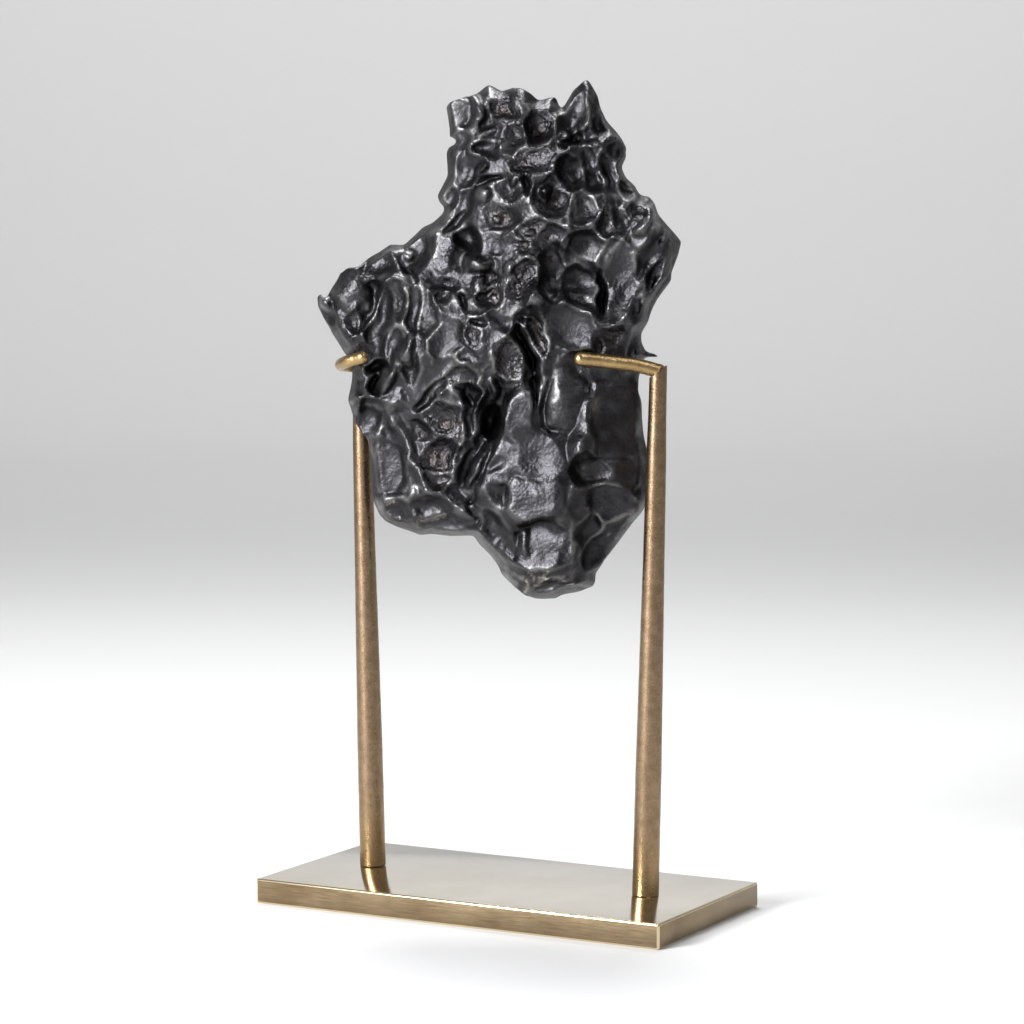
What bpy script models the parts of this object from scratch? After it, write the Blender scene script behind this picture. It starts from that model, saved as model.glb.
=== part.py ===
# Iron meteorite hung in a brass display stand.
# Metres, +Z up. The origin is under the middle of the base plate, and the plate's front faces -Y.
import math

import bmesh
import bpy
import numpy as np
from mathutils import Vector

MM = 0.001

# Base plate
PLATE_LENGTH = 180.0 * MM
PLATE_DEPTH = 90.0 * MM
PLATE_HEIGHT = 10.0 * MM
PLATE_EDGE = 1.0 * MM

# Posts: each stands on the plate and leans a little outward
POST_Y = 1.0 * MM
LEFT_POST_X = -62.8 * MM
RIGHT_POST_X = 61.6 * MM
LEFT_POST_LEAN = -0.0247
RIGHT_POST_LEAN = 0.0230
LEFT_POST_TOP = 211.3 * MM
RIGHT_POST_TOP = 213.6 * MM
# Height above the table and radius along a post, in millimetres
POST_PROFILE = [(10.0, 5.3), (60.0, 5.1), (140.0, 4.25), (180.0, 3.9), (200.0, 3.5), (214.0, 3.3)]
POST_SIDES = 28

# Hooked arms
LEFT_ARM_RADIUS = 2.45 * MM
RIGHT_ARM_RADIUS = 2.8 * MM
ARM_SAMPLES = 26
JOINT_GAP = 0.3 * MM

# The meteorite's broad face looks this far round from the plate's front
FACE_TURN = math.radians(28.6)
# Its middle sheet comes forward by this much for each millimetre to the right
SHEET_SLOPE = 0.24

# Thickness of the meteorite, in millimetres from the middle sheet
FRONT_RIM = 6.0
BACK_RIM = 2.0
FRONT_SWELL = 20.0
BACK_SWELL = 16.0
SWELL_WIDTH = 26.0
THINNEST = 5.0

SLAB_HALF = 20.0 * MM
REMESH_SIZE = 1.7 * MM
TRIANGLE_TARGET = 7600

# Edge of the meteorite, as seen from the front and in millimetres: across, height above the table
OUTLINE = [
    (-27.2, 283.0), (-26.2, 280.2), (-24.2, 278.6), (-25.0, 276.0), (-29.0, 272.4), (-33.0, 270.6),
    (-36.0, 267.6), (-40.6, 263.4), (-46.0, 263.7), (-50.0, 261.0), (-54.5, 258.5), (-58.8, 254.7),
    (-63.6, 254.4), (-66.6, 250.5), (-69.6, 246.0), (-71.9, 241.6), (-72.6, 241.2), (-73.8, 244.2),
    (-75.4, 242.8), (-75.0, 239.0), (-72.6, 234.0), (-70.0, 230.0), (-67.6, 225.6), (-64.8, 221.0),
    (-61.0, 217.5), (-61.3, 213.5), (-61.7, 208.5), (-63.1, 202.2), (-60.8, 194.5), (-57.5, 189.5),
    (-55.1, 185.6), (-54.5, 180.0), (-54.0, 170.0), (-53.3, 162.6), (-50.6, 156.2), (-48.0, 153.4),
    (-44.0, 151.4), (-38.0, 149.4), (-34.5, 148.0), (-30.0, 148.6), (-22.0, 147.9), (-13.0, 148.6),
    (-10.6, 145.0), (-6.0, 140.5), (-3.6, 137.3), (-1.6, 133.4), (1.5, 131.0), (5.0, 128.4),
    (8.0, 125.6), (11.5, 124.4), (19.5, 124.7), (22.0, 126.2), (28.0, 127.3), (34.2, 129.7),
    (35.0, 131.2), (35.2, 135.0), (38.5, 140.6), (44.0, 147.6), (49.0, 154.4), (53.2, 159.6),
    (55.6, 164.0), (56.4, 171.0), (55.8, 181.0), (53.9, 189.0), (52.9, 197.0), (52.8, 203.0),
    (51.3, 207.5), (51.6, 211.5), (52.6, 216.0), (54.0, 221.0), (52.8, 226.0), (52.6, 229.5),
    (55.2, 234.0), (56.6, 238.4), (58.6, 242.6), (61.0, 246.0), (64.0, 250.0), (66.8, 260.0),
    (68.1, 265.2), (65.9, 268.0), (62.8, 271.5), (58.6, 276.4), (57.3, 280.6), (55.6, 282.7),
    (52.0, 283.2), (50.0, 287.0), (46.6, 289.9), (44.8, 294.0), (46.8, 298.4), (46.9, 301.2),
    (45.0, 305.0), (42.8, 307.9), (39.0, 312.0), (36.6, 317.0), (35.6, 321.6), (32.4, 327.0),
    (31.2, 328.2), (29.8, 327.1), (26.2, 324.0), (24.2, 320.6), (22.0, 316.8), (20.6, 317.4),
    (18.2, 321.5), (14.5, 320.4), (12.2, 320.1), (9.5, 322.7), (6.0, 324.7), (2.6, 325.0),
    (-1.8, 323.7), (-6.4, 326.3), (-7.6, 326.0), (-11.0, 323.3), (-14.0, 321.6), (-18.4, 320.7),
    (-22.0, 319.5), (-23.6, 317.8), (-22.8, 313.0), (-22.2, 308.6), (-22.4, 306.0), (-19.5, 304.2),
    (-22.4, 302.2), (-23.5, 300.0), (-23.0, 291.0), (-25.0, 287.0),
]

# Broad swells and dips: across, height, half width, half height, turn in degrees, rise
MASSES = [
    (12, 160, 20, 38, 0, 5), (20, 205, 16, 14, 0, 2), (43, 195, 11, 24, 8, -9), (41, 155, 9, 14, -35, -5),
    (-46, 172, 12, 20, 0, -8), (-33, 156, 16, 6, 0, -7), (-26, 190, 12, 14, 0, -4),
    (-10, 185, 8, 18, -10, -3), (-9, 256, 11, 10, 0, 4), (44, 270, 12, 12, 0, 4), (-44, 256, 8, 6, 0, 2),
    (-25, 263, 7, 9, 0, 2), (5, 305, 22, 12, 0, -2), (30, 248, 10, 14, 0, -3), (12, 133, 20, 5, 0, -2),
    (-52, 235, 10, 16, 0, -2), (41, 218, 18, 8, -2, -11),
]

# Scoops of the front: across, height, half width, half height, turn, depth, flatness of the floor
SCOOPS = [
    (-18.5, 314, 5.5, 7.5, 0, 3.2, 0.2), (-2, 317.5, 6.3, 5.2, 0, 4.2, 0.3),
    (13.5, 313.5, 4.6, 6.2, 0, 5.0, 0.3), (26, 318, 4.6, 9, -14, 2.6, 0.3),
    (27.6, 305.4, 5.2, 3.8, -8, 6.0, 0.2), (34, 306, 5, 3, 5, 3.0, 0.2),
    (33.2, 297.4, 3.2, 4.6, 0, 7.5, 0.1), (28.3, 292.4, 6.2, 4.3, 12, 7.0, 0.1),
    (42.5, 292, 3.4, 7, 10, 4.0, 0.2), (10, 298.5, 11, 6.5, 0, 4.5, 0.4), (1, 307, 7, 4.5, 20, 3.5, 0.2),
    (-9, 301.9, 5, 3.2, 8, 5.5, 0.2), (-18.6, 292.5, 5, 6, -10, 3.0, 0.3),
    (-0.5, 285.5, 5, 4.2, 0, 3.5, 0.2), (7.2, 287.4, 2.2, 4.9, 2, 9.0, 0.5),
    (19.5, 284, 8.2, 7.2, 0, 6.5, 0.2), (30.6, 280.4, 4.8, 6.8, -8, 4.6, 0.2),
    (39.0, 272.5, 4.4, 6.2, -10, 4.0, 0.4), (45.2, 275.5, 3.2, 6.5, 5, 2.6, 0.3),
    (56.5, 264.5, 5, 9.5, -24, 4.6, 0.2), (31, 262.2, 7.6, 6.6, 0, 8.5, 0.25),
    (29.5, 250.6, 8.2, 5.2, -4, 8.5, 0.2), (29, 243.6, 7, 3.6, -15, 6.5, 0.2),
    (46, 250, 8.2, 11, -14, 5.2, 0.3), (43, 229, 5, 4.2, 0, 3.2, 0.4), (20, 254, 4.5, 8.5, 10, 4.5, 0.2),
    (17, 266, 7, 5.5, 15, 3.8, 0.3), (-4, 275.5, 6.8, 5.2, 0, 3.6, 0.4),
    (8, 269.8, 7.4, 4.8, 10, 4.6, 0.3), (-15.6, 266.2, 3.8, 5.4, 20, 5.0, 0.2),
    (6.8, 252, 8.4, 6.0, 28, 9.5, 0.25), (-17.6, 244.8, 2.4, 4.4, 10, 6.5, 0.2),
    (-25, 250.5, 6, 3.6, 0, 2.6, 0.3), (-35.5, 263.5, 4.6, 6.6, -25, 3.0, 0.4),
    (-25, 229, 6.2, 12, 5, 2.4, 0.55), (-13, 229.5, 4.8, 3.6, 15, 4.2, 0.3),
    (-17, 213, 5.5, 3.6, 8, 4.0, 0.3), (-13, 205.8, 3.0, 5.4, 10, 8.0, 0.2),
    (1.5, 218, 6.4, 9.5, 20, 5.0, 0.5), (6.6, 222.5, 2.2, 10.5, 20, 8.0, 0.3),
    (12.5, 227.5, 3.6, 9, 10, 4.6, 0.4), (25, 231, 9.6, 9.5, -30, 3.4, 0.5),
    (31, 211, 3.4, 4.4, 0, 3.2, 0.3),
    (-6.2, 193.6, 3.6, 8.6, -8, 12.0, 0.3), (-13.8, 193.5, 2.6, 7.2, -8, 6.0, 0.3),
    (4, 198, 6.6, 9.5, -12, 3.0, 0.5), (-16.5, 174.5, 3.6, 9.4, -16, 9.0, 0.2),
    (-25, 196, 8.2, 6.6, 0, 4.4, 0.5), (-30, 204.5, 9.5, 2.6, 34, 5.0, 0.3),
    (-28.5, 182, 6.2, 6.4, 0, 5.2, 0.4),
    (12.5, 184, 9.6, 9.2, 0, 4.2, 0.35), (-45, 243.2, 4.2, 7.4, 0, 4.2, 0.4),
    (-36.8, 241.6, 2.6, 9.6, 0, 5.0, 0.3), (-54.2, 242, 3.0, 8.6, -18, 8.5, 0.2),
    (-50.2, 236.8, 3.0, 9.0, -18, 6.5, 0.3), (-61, 234.4, 4.0, 4.4, 0, 3.4, 0.3),
    (-51.5, 217, 4.6, 4.4, 10, 6.5, 0.3), (-50.2, 208.8, 2.4, 5.2, -10, 7.0, 0.2),
    (-37, 213, 3.4, 8, -12, 4.2, 0.3), (-56, 194, 4.6, 5.6, -20, 3.0, 0.4),
    (-47.5, 190, 3.6, 8.5, 25, 3.4, 0.4), (-48.6, 177, 5.0, 9.5, 8, 3.0, 0.5),
    (-38, 173.5, 2.2, 8.2, 28, 2.6, 0.3), (-44.4, 158.3, 6.0, 3.2, -8, 4.0, 0.3),
    (-31, 160.5, 5.6, 3.8, -8, 3.0, 0.3), (-3, 167, 4.6, 6.6, 0, 3.4, 0.3),
    (41.5, 194, 8.5, 11, 0, 3.2, 0.5),
    (42, 177.5, 8.6, 4.6, 0, 3.6, 0.4), (40, 163.6, 9.0, 7.6, -20, 3.4, 0.5),
    (31.3, 143, 2.2, 10, 2, 5.0, 0.2),
]

# Lumps of the front: across, height, half width, half height, turn, height of the cap, lift above ground
LUMPS = [
    (-11, 316, 2.3, 5.4, 24, 3.2, 0.3), (6.3, 318.6, 4.6, 4.4, 0, 3, 0.2),
    (31.6, 322, 2.6, 6, 10, 2.2, 0.4),
    (21, 305, 2.7, 2.8, 0, 4, 0.8), (38.8, 301.6, 2.7, 5.6, -22, 4, 0.2), (-9, 307, 4.6, 2.2, 10, 4, 0),
    (-9.2, 293.2, 2.8, 4.6, -24, 4.5, 0.3), (-7.8, 282, 3.6, 3.4, 0, 4, 0.6),
    (13.6, 284, 4.4, 3.4, 0, 5, 0),
    (52, 271.5, 2.2, 5.6, -32, 4, 0.3), (8, 269.6, 3.8, 2.4, 0, 4, -0.8),
    (-25, 263.6, 5.2, 8.4, 0, 3.6, 0.4),
    (-11, 256.6, 6.4, 4.0, 12, 5, 0.4), (-11, 247.5, 4.2, 6.4, 14, 4, -0.8),
    (-37.2, 224.4, 2.9, 5.2, 0, 3.6, 0.2), (-44.6, 212.6, 1.9, 8, -27, 4.2, 0.2),
    (-60, 243.8, 3.8, 6.4, 0, 4.5, 0.3), (-44.2, 256.4, 4.0, 4.8, 24, 4, 0.3),
    (20.3, 203, 5.6, 10.6, 6, 5.5, 0.4),
    (-5.6, 211.4, 3.2, 5.6, 10, 4, -0.2), (8, 165.2, 9.2, 9.8, 0, 5.5, 0.3), (17, 155, 4.6, 5.4, 0, 4, 0.2),
]

# Sharp crests between the scoops: width, height, points
CRESTS = [
    (1.2, 2.2, [(23, 293), (25, 296.5), (30.5, 299.6)]),
    (1.3, 2.0, [(-13.4, 306.2), (-13.8, 302.4), (-12.6, 300)]),
    (1.1, 1.5, [(-5, 298.6), (-12, 297), (-16, 288), (-22, 277), (-27, 270.5), (-32.8, 270.4)]),
    (1.4, 1.6, [(-28.6, 270), (-30, 266), (-29, 257)]),
    (1.1, 2.0, [(25.4, 286.4), (27, 282), (23.5, 272.5), (25.5, 269.6), (23, 261), (21.4, 257.6)]),
    (1.3, 2.2, [(54.5, 276.4), (49, 270.5), (43, 264), (39.5, 259.5), (37, 255.4)]),
    (1.4, 2.2, [(14, 248.6), (17.5, 243.6), (28, 240.3), (34, 237), (40, 232.2), (44, 235.5),
                (48, 241.5), (54.5, 245.8), (57, 256), (61, 261.6)]),
    (1.0, 1.8, [(7, 239.6), (14, 248.6)]),
    (1.3, 1.8, [(4, 273.5), (0.5, 268.5), (-7, 265.5)]),
    (1.3, 1.8, [(-17, 252), (-15, 257), (-6, 260), (1.5, 258.6), (8, 261), (16, 261)]),
    (1.5, 3.0, [(-21, 245.6), (-17.5, 239), (-11, 236.6), (-5.5, 240), (-3, 242)]),
    (1.2, 1.8, [(-50, 251), (-43, 250.6), (-35, 253)]),
    (1.0, 1.8, [(-50.4, 245.4), (-54.6, 236)]),
    (1.1, 1.8, [(-18, 228), (-19, 221), (-24, 212), (-32, 201)]),
    (1.1, 1.8, [(0, 228.2), (-7, 219), (-9.5, 212), (-14, 212.6)]),
    (1.2, 1.6, [(27, 226), (17, 215), (11.5, 205.5)]),
    (2.0, 2.4, [(33.8, 203), (34, 200), (28.5, 189.5), (28.5, 179), (32, 173), (45, 171), (52.4, 160)]),
    (1.4, 2.0, [(-62, 201), (-58, 199.6), (-47, 199), (-39, 204.5)]),
    (1.1, 1.6, [(-46, 199), (-42.5, 189), (-35, 182.6)]),
    (1.3, 2.2, [(-42.6, 189), (-38.5, 177), (-33, 169), (-20, 162.5), (-10.5, 152), (-6, 144)]),
    (1.4, 2.4, [(-49.6, 160.4), (-40, 162), (-35.6, 169)]),
    (1.4, 2.2, [(-1, 138.6), (4, 134.5), (13.5, 134.5), (34, 130.6)]),
]

# Scoops of the back, in rows over the whole face: step between them, nudge, radii, depths, share kept
BACK_SEED = 7
BACK_ROWS = [
    (25.0, 8.0, (11.0, 18.0), (4.0, 8.0), 1.0),
    (14.0, 5.0, (4.0, 8.5), (2.0, 4.5), 0.5),
]

# How soft the joins between scoops and lumps are, in millimetres
SCOOP_SOFTNESS = 0.6
LUMP_SOFTNESS = 1.6

# Gentle wandering of the scoops' edges: size of the wander, its reach, its seed
WANDER = [(11.0, 1.3, 11), (4.5, 0.55, 12)]

METEORITE_COLOUR = (0.055, 0.055, 0.062, 1.0)
PLATE_COLOUR = (0.46, 0.37, 0.25, 1.0)
ROD_COLOUR = (0.60, 0.43, 0.21, 1.0)


def clear_scene():
    for item in list(bpy.data.objects):
        bpy.data.objects.remove(item, do_unlink=True)


def make_material(name, colour, roughness):
    material = bpy.data.materials.new(name)
    material.use_nodes = True
    shader = material.node_tree.nodes["Principled BSDF"]
    shader.inputs["Base Color"].default_value = colour
    shader.inputs["Metallic"].default_value = 1.0
    shader.inputs["Roughness"].default_value = roughness
    return material


def link_object(name, data, material):
    item = bpy.data.objects.new(name, data)
    bpy.context.scene.collection.objects.link(item)
    data.materials.clear()
    data.materials.append(material)
    return item


def place(across, height, forward):
    """World point of a place on the meteorite's broad face, given in millimetres."""
    x = across * math.cos(FACE_TURN) + forward * math.sin(FACE_TURN)
    y = across * math.sin(FACE_TURN) - forward * math.cos(FACE_TURN)
    return Vector((x, y, height)) * MM


def value_noise(across, height, size, seed):
    """Smooth noise between about -2 and 2 that repeats only far outside the meteorite."""
    cells = 64
    table = np.random.default_rng(seed).standard_normal((cells, cells))
    x = (across / size) % cells
    y = (height / size) % cells
    column = np.floor(x).astype(int) % cells
    row = np.floor(y).astype(int) % cells
    step_x = x - np.floor(x)
    step_y = y - np.floor(y)
    step_x = step_x * step_x * (3 - 2 * step_x)
    step_y = step_y * step_y * (3 - 2 * step_y)
    right = (column + 1) % cells
    above = (row + 1) % cells
    low = table[column, row] * (1 - step_x) + table[right, row] * step_x
    high = table[column, above] * (1 - step_x) + table[right, above] * step_x
    return low * (1 - step_y) + high * step_y


def line_distance(across, height, points, closed=False):
    """Distance from each place to a run of straight pieces."""
    ends = list(points[1:])
    starts = list(points[:-1])
    if closed:
        ends.append(points[0])
        starts.append(points[-1])
    nearest = np.full(across.shape, 1.0e9)
    for (start_u, start_z), (end_u, end_z) in zip(starts, ends):
        run_u = end_u - start_u
        run_z = end_z - start_z
        length_squared = run_u * run_u + run_z * run_z
        share = ((across - start_u) * run_u + (height - start_z) * run_z) / length_squared
        share = np.clip(share, 0.0, 1.0)
        gap = np.hypot(across - start_u - share * run_u, height - start_z - share * run_z)
        nearest = np.minimum(nearest, gap)
    return nearest


def soft_minimum(first, second, softness):
    overlap = np.maximum(softness - np.abs(first - second), 0.0) / softness
    return np.minimum(first, second) - overlap * overlap * softness * 0.25


def soft_maximum(first, second, softness):
    return -soft_minimum(-first, -second, softness)


def oval(across, height, centre_u, centre_z, half_u, half_z, turn):
    """Square of the distance from an oval's centre: 1 on the oval itself."""
    angle = math.radians(turn)
    du = across - centre_u
    dz = height - centre_z
    along = (du * math.cos(angle) + dz * math.sin(angle)) / half_u
    aside = (dz * math.cos(angle) - du * math.sin(angle)) / half_z
    return along * along + aside * aside


def swell(depth_inside, rim, top):
    """Distance of the rounded surface from the middle sheet, before it is scooped."""
    share = np.clip(depth_inside / SWELL_WIDTH, 0.0, 1.0)
    return rim + top * np.sqrt(np.clip(1.0 - (1.0 - share) ** 2, 0.0, 1.0))


def front_ground(across, height):
    inward = line_distance(across, height, OUTLINE, closed=True)
    fade = np.clip(inward / 8.0, 0.0, 1.0)
    ground = swell(inward, FRONT_RIM, FRONT_SWELL)
    for centre_u, centre_z, half_u, half_z, turn, rise in MASSES:
        inside = oval(across, height, centre_u, centre_z, half_u, half_z, turn)
        ground = ground + rise * fade * np.exp(-1.3 * inside)
    return ground, fade


def ground_at(centres, ground_of):
    places = np.array([centre[:2] for centre in centres], dtype=float)
    return ground_of(places[:, 0], places[:, 1])[0]


def wander(across, height):
    """How far each place is shifted before the scoops are cut, so that their edges wander."""
    shift_u = np.zeros_like(across)
    shift_z = np.zeros_like(across)
    for size, reach, seed in WANDER:
        shift_u = shift_u + reach * value_noise(across, height, size, seed)
        shift_z = shift_z + reach * value_noise(across, height, size, seed + 2)
    return shift_u, shift_z


def front_surface(across, height):
    """Distance of the front from the middle sheet, in millimetres."""
    ground, fade = front_ground(across, height)
    shift_u, shift_z = wander(across, height)
    raised = np.zeros_like(across)
    for width, rise, points in CRESTS:
        away = line_distance(across + 0.35 * shift_u, height + 0.35 * shift_z, points)
        flank = 1.25 * np.exp(-away / (2.4 * width))
        edge = 0.55 * np.exp(-away / (0.7 * width))
        raised = np.maximum(raised, rise * (flank + edge))
    surface = ground + fade * (raised + 0.8)
    levels = ground_at(SCOOPS, front_ground)
    for level, (centre_u, centre_z, half_u, half_z, turn, depth, flatness) in zip(levels, SCOOPS):
        inside = oval(across + shift_u, height + shift_z, centre_u, centre_z, half_u, half_z, turn)
        bowl = level - depth + depth * inside ** (1.0 + 1.2 * flatness)
        surface = soft_minimum(surface, bowl, SCOOP_SOFTNESS)
    levels = ground_at(LUMPS, front_ground)
    for level, (centre_u, centre_z, half_u, half_z, turn, cap, lift) in zip(levels, LUMPS):
        inside = oval(across + shift_u, height + shift_z, centre_u, centre_z, half_u, half_z, turn)
        surface = soft_maximum(surface, level + lift - cap * inside, LUMP_SOFTNESS)
    return surface


def back_scoops():
    """Places and sizes of the scoops of the back: wide ones all over, with smaller ones among them."""
    chance = np.random.default_rng(BACK_SEED)
    scoops = []
    for step, nudge, radii, depths, kept in BACK_ROWS:
        for row, row_height in enumerate(np.arange(122.0, 332.0, step * 0.87)):
            first = -80.0 + (row % 2) * step / 2
            for column in np.arange(first, 74.0, step):
                centre_u = column + chance.uniform(-nudge, nudge)
                centre_z = row_height + chance.uniform(-nudge, nudge)
                half_u = chance.uniform(*radii)
                half_z = chance.uniform(*radii)
                turn = chance.uniform(0.0, 180.0)
                depth = chance.uniform(*depths)
                if chance.random() < kept:
                    scoops.append((centre_u, centre_z, half_u, half_z, turn, depth))
    return scoops


def back_surface(across, height):
    """Distance of the back from the middle sheet, in millimetres."""
    inward = line_distance(across, height, OUTLINE, closed=True)
    surface = swell(inward, BACK_RIM, BACK_SWELL) + 1.5 * np.clip(inward / 8.0, 0.0, 1.0)
    shift_u, shift_z = wander(across, height)
    scoops = back_scoops()
    places = np.array([scoop[:2] for scoop in scoops])
    depths_inside = line_distance(places[:, 0], places[:, 1], OUTLINE, closed=True)
    levels = swell(depths_inside, BACK_RIM, BACK_SWELL)
    for level, (centre_u, centre_z, half_u, half_z, turn, depth) in zip(levels, scoops):
        inside = oval(across + shift_u, height + shift_z, centre_u, centre_z, half_u, half_z, turn)
        surface = soft_minimum(surface, level - depth + depth * inside, SCOOP_SOFTNESS)
    return surface


def evaluated_copy(item):
    """The item's mesh as its modifiers leave it."""
    graph = bpy.context.evaluated_depsgraph_get()
    return bpy.data.meshes.new_from_object(item.evaluated_get(graph), depsgraph=graph)


def outline_slab():
    """A flat slab with the meteorite's outline, its faces at plus and minus SLAB_HALF along Y."""
    body = bmesh.new()
    rim = [body.verts.new((u * MM, SLAB_HALF, z * MM)) for u, z in OUTLINE]
    face = body.faces.new(rim)
    grown = bmesh.ops.extrude_face_region(body, geom=[face])
    moved = [part for part in grown["geom"] if isinstance(part, bmesh.types.BMVert)]
    bmesh.ops.translate(body, verts=moved, vec=(0.0, -2.0 * SLAB_HALF, 0.0))
    bmesh.ops.recalc_face_normals(body, faces=body.faces[:])
    mesh = bpy.data.meshes.new("meteorite_slab")
    body.to_mesh(mesh)
    body.free()
    return mesh


def shape_meteorite(mesh):
    """Moves the slab's points onto the scooped front and back and turns the whole to its place."""
    count = len(mesh.vertices)
    flat = np.empty(count * 3)
    mesh.vertices.foreach_get("co", flat)
    points = flat.reshape(count, 3)
    across = points[:, 0] / MM
    height = points[:, 2] / MM
    share = np.clip(-points[:, 1] / SLAB_HALF, -1.0, 1.0)
    front = front_surface(across, height)
    back = -back_surface(across, height)
    back = np.minimum(back, front - THINNEST)
    forward = back + (front - back) * (share + 1.0) / 2.0 + SHEET_SLOPE * across
    points[:, 0] = (across * math.cos(FACE_TURN) + forward * math.sin(FACE_TURN)) * MM
    points[:, 1] = (across * math.sin(FACE_TURN) - forward * math.cos(FACE_TURN)) * MM
    mesh.vertices.foreach_set("co", points.ravel())
    mesh.update()


def add_remesh(item, size):
    remesh = item.modifiers.new("even_faces", "REMESH")
    remesh.mode = "VOXEL"
    remesh.voxel_size = size


def build_meteorite(material):
    item = link_object("meteorite", outline_slab(), material)
    add_remesh(item, REMESH_SIZE)
    item.data = evaluated_copy(item)
    item.modifiers.clear()
    shape_meteorite(item.data)
    add_remesh(item, REMESH_SIZE)
    item.data = evaluated_copy(item)
    item.modifiers.clear()
    item.data.name = "meteorite"
    triangles = sum(len(face.vertices) - 2 for face in item.data.polygons)
    thin_out = item.modifiers.new("fewer_faces", "DECIMATE")
    thin_out.ratio = TRIANGLE_TARGET / triangles
    thin_out.use_collapse_triangulate = True
    item.data.materials.clear()
    item.data.materials.append(material)
    item.data.shade_smooth()
    return item


def build_base(material):
    body = bmesh.new()
    bmesh.ops.create_cube(body, size=1.0)
    bmesh.ops.scale(body, vec=(PLATE_LENGTH, PLATE_DEPTH, PLATE_HEIGHT), verts=body.verts[:])
    mesh = bpy.data.meshes.new("base")
    body.to_mesh(mesh)
    body.free()
    item = link_object("base", mesh, material)
    item.location = (0.0, 0.0, PLATE_HEIGHT / 2)
    bevel = item.modifiers.new("soft_edges", "BEVEL")
    bevel.width = PLATE_EDGE
    bevel.segments = 3
    return item


def post_radius(height):
    heights = [row[0] for row in POST_PROFILE]
    radii = [row[1] for row in POST_PROFILE]
    return float(np.interp(height / MM, heights, radii)) * MM


def build_post(name, foot_x, lean, top, material):
    """A turned, tapering rod with a vertical run of rings, each shifted by the lean."""
    foot = PLATE_HEIGHT + JOINT_GAP
    rings = [foot] + [z * MM for z, radius in POST_PROFILE[1:-1]] + [top]
    body = bmesh.new()
    loops = []
    for height in rings:
        radius = post_radius(height)
        centre_x = lean * (height - PLATE_HEIGHT)
        loop = []
        for side in range(POST_SIDES):
            angle = 2.0 * math.pi * side / POST_SIDES
            x = centre_x + radius * math.cos(angle)
            loop.append(body.verts.new((x, radius * math.sin(angle), height)))
        loops.append(loop)
    for lower, upper in zip(loops[:-1], loops[1:]):
        for side in range(POST_SIDES):
            after = (side + 1) % POST_SIDES
            body.faces.new((lower[side], lower[after], upper[after], upper[side]))
    body.faces.new(loops[0][::-1])
    body.faces.new(loops[-1])
    mesh = bpy.data.meshes.new(name)
    body.to_mesh(mesh)
    body.free()
    item = link_object(name, mesh, material)
    item.location = (foot_x, POST_Y, 0.0)
    mesh.shade_smooth()
    mesh.set_sharp_from_angle(angle=math.radians(40.0))
    return item


def smooth_route(points, samples):
    """Evenly spread points on a smooth curve through the route's own points."""
    knots = [points[0]] + list(points) + [points[-1]]
    dense = []
    for index in range(1, len(knots) - 2):
        before, start, end, after = knots[index - 1:index + 3]
        for step in range(24):
            t = step / 24.0
            dense.append(0.5 * (2.0 * start + (end - before) * t
                                + (2.0 * before - 5.0 * start + 4.0 * end - after) * t * t
                                + (3.0 * start - before - 3.0 * end + after) * t ** 3))
    dense.append(points[-1])
    lengths = [0.0]
    for first, second in zip(dense[:-1], dense[1:]):
        lengths.append(lengths[-1] + (second - first).length)
    route = []
    for step in range(samples):
        wanted = lengths[-1] * step / (samples - 1)
        spot = [np.interp(wanted, lengths, [point[axis] for point in dense]) for axis in range(3)]
        route.append(Vector(spot))
    return route, lengths[-1]


def build_arm(name, points, radius, material):
    """A bent round rod with a round tip and a softly rounded end over its post."""
    route, length = smooth_route(points, ARM_SAMPLES)
    tip = [0.0, 0.08, 0.3, 0.6, 1.0]
    stations = [share * radius for share in tip]
    inner = [length * step / (ARM_SAMPLES - 1) for step in range(ARM_SAMPLES)]
    inner = [reach for reach in inner if 1.2 * radius < reach < length - 1.2 * radius]
    places = stations + inner + [length - reach for reach in reversed(stations)]
    spacing = [length * step / (ARM_SAMPLES - 1) for step in range(ARM_SAMPLES)]
    curve = bpy.data.curves.new(name, "CURVE")
    curve.dimensions = "3D"
    curve.bevel_depth = radius
    curve.bevel_resolution = 4
    curve.use_fill_caps = True
    spline = curve.splines.new("POLY")
    spline.points.add(len(places) - 1)
    for point, reach in zip(spline.points, places):
        where = [float(np.interp(reach, spacing, [spot[axis] for spot in route])) for axis in range(3)]
        point.co = (*where, 1.0)
        from_end = min(reach, length - reach, radius)
        share = 1.0 - from_end / radius
        point.radius = max(math.sqrt(max(1.0 - share * share, 0.0)), 0.12)
    return link_object(name, curve, material)


def post_top(foot_x, lean, top):
    return Vector((foot_x + lean * (top - PLATE_HEIGHT), POST_Y, top))


def arm_routes():
    """Hand-bent routes of both arms, from over the post to the round tip."""
    left_start = post_top(LEFT_POST_X, LEFT_POST_LEAN, LEFT_POST_TOP)
    left_start.z += JOINT_GAP + LEFT_ARM_RADIUS
    right_start = post_top(RIGHT_POST_X, RIGHT_POST_LEAN, RIGHT_POST_TOP)
    right_start.z += JOINT_GAP + RIGHT_ARM_RADIUS
    left = [
        left_start + Vector((1.5, 2.0, -0.1)) * MM,
        left_start,
        place(-64.0, 214.6, -28.5),
        place(-65.4, 215.4, -18.0),
        place(-65.4, 216.4, -6.0),
        place(-62.6, 218.0, 3.8),
        place(-58.0, 219.4, 7.7),
        place(-54.4, 220.5, 10.2),
    ]
    right = [
        right_start + Vector((3.0, 0.6, -0.2)) * MM,
        right_start,
        place(50.0, 218.0, 31.3),
        place(40.0, 219.3, 31.9),
        place(33.0, 220.1, 32.2),
        place(26.1, 220.8, 33.2),
    ]
    return left, right


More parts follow.
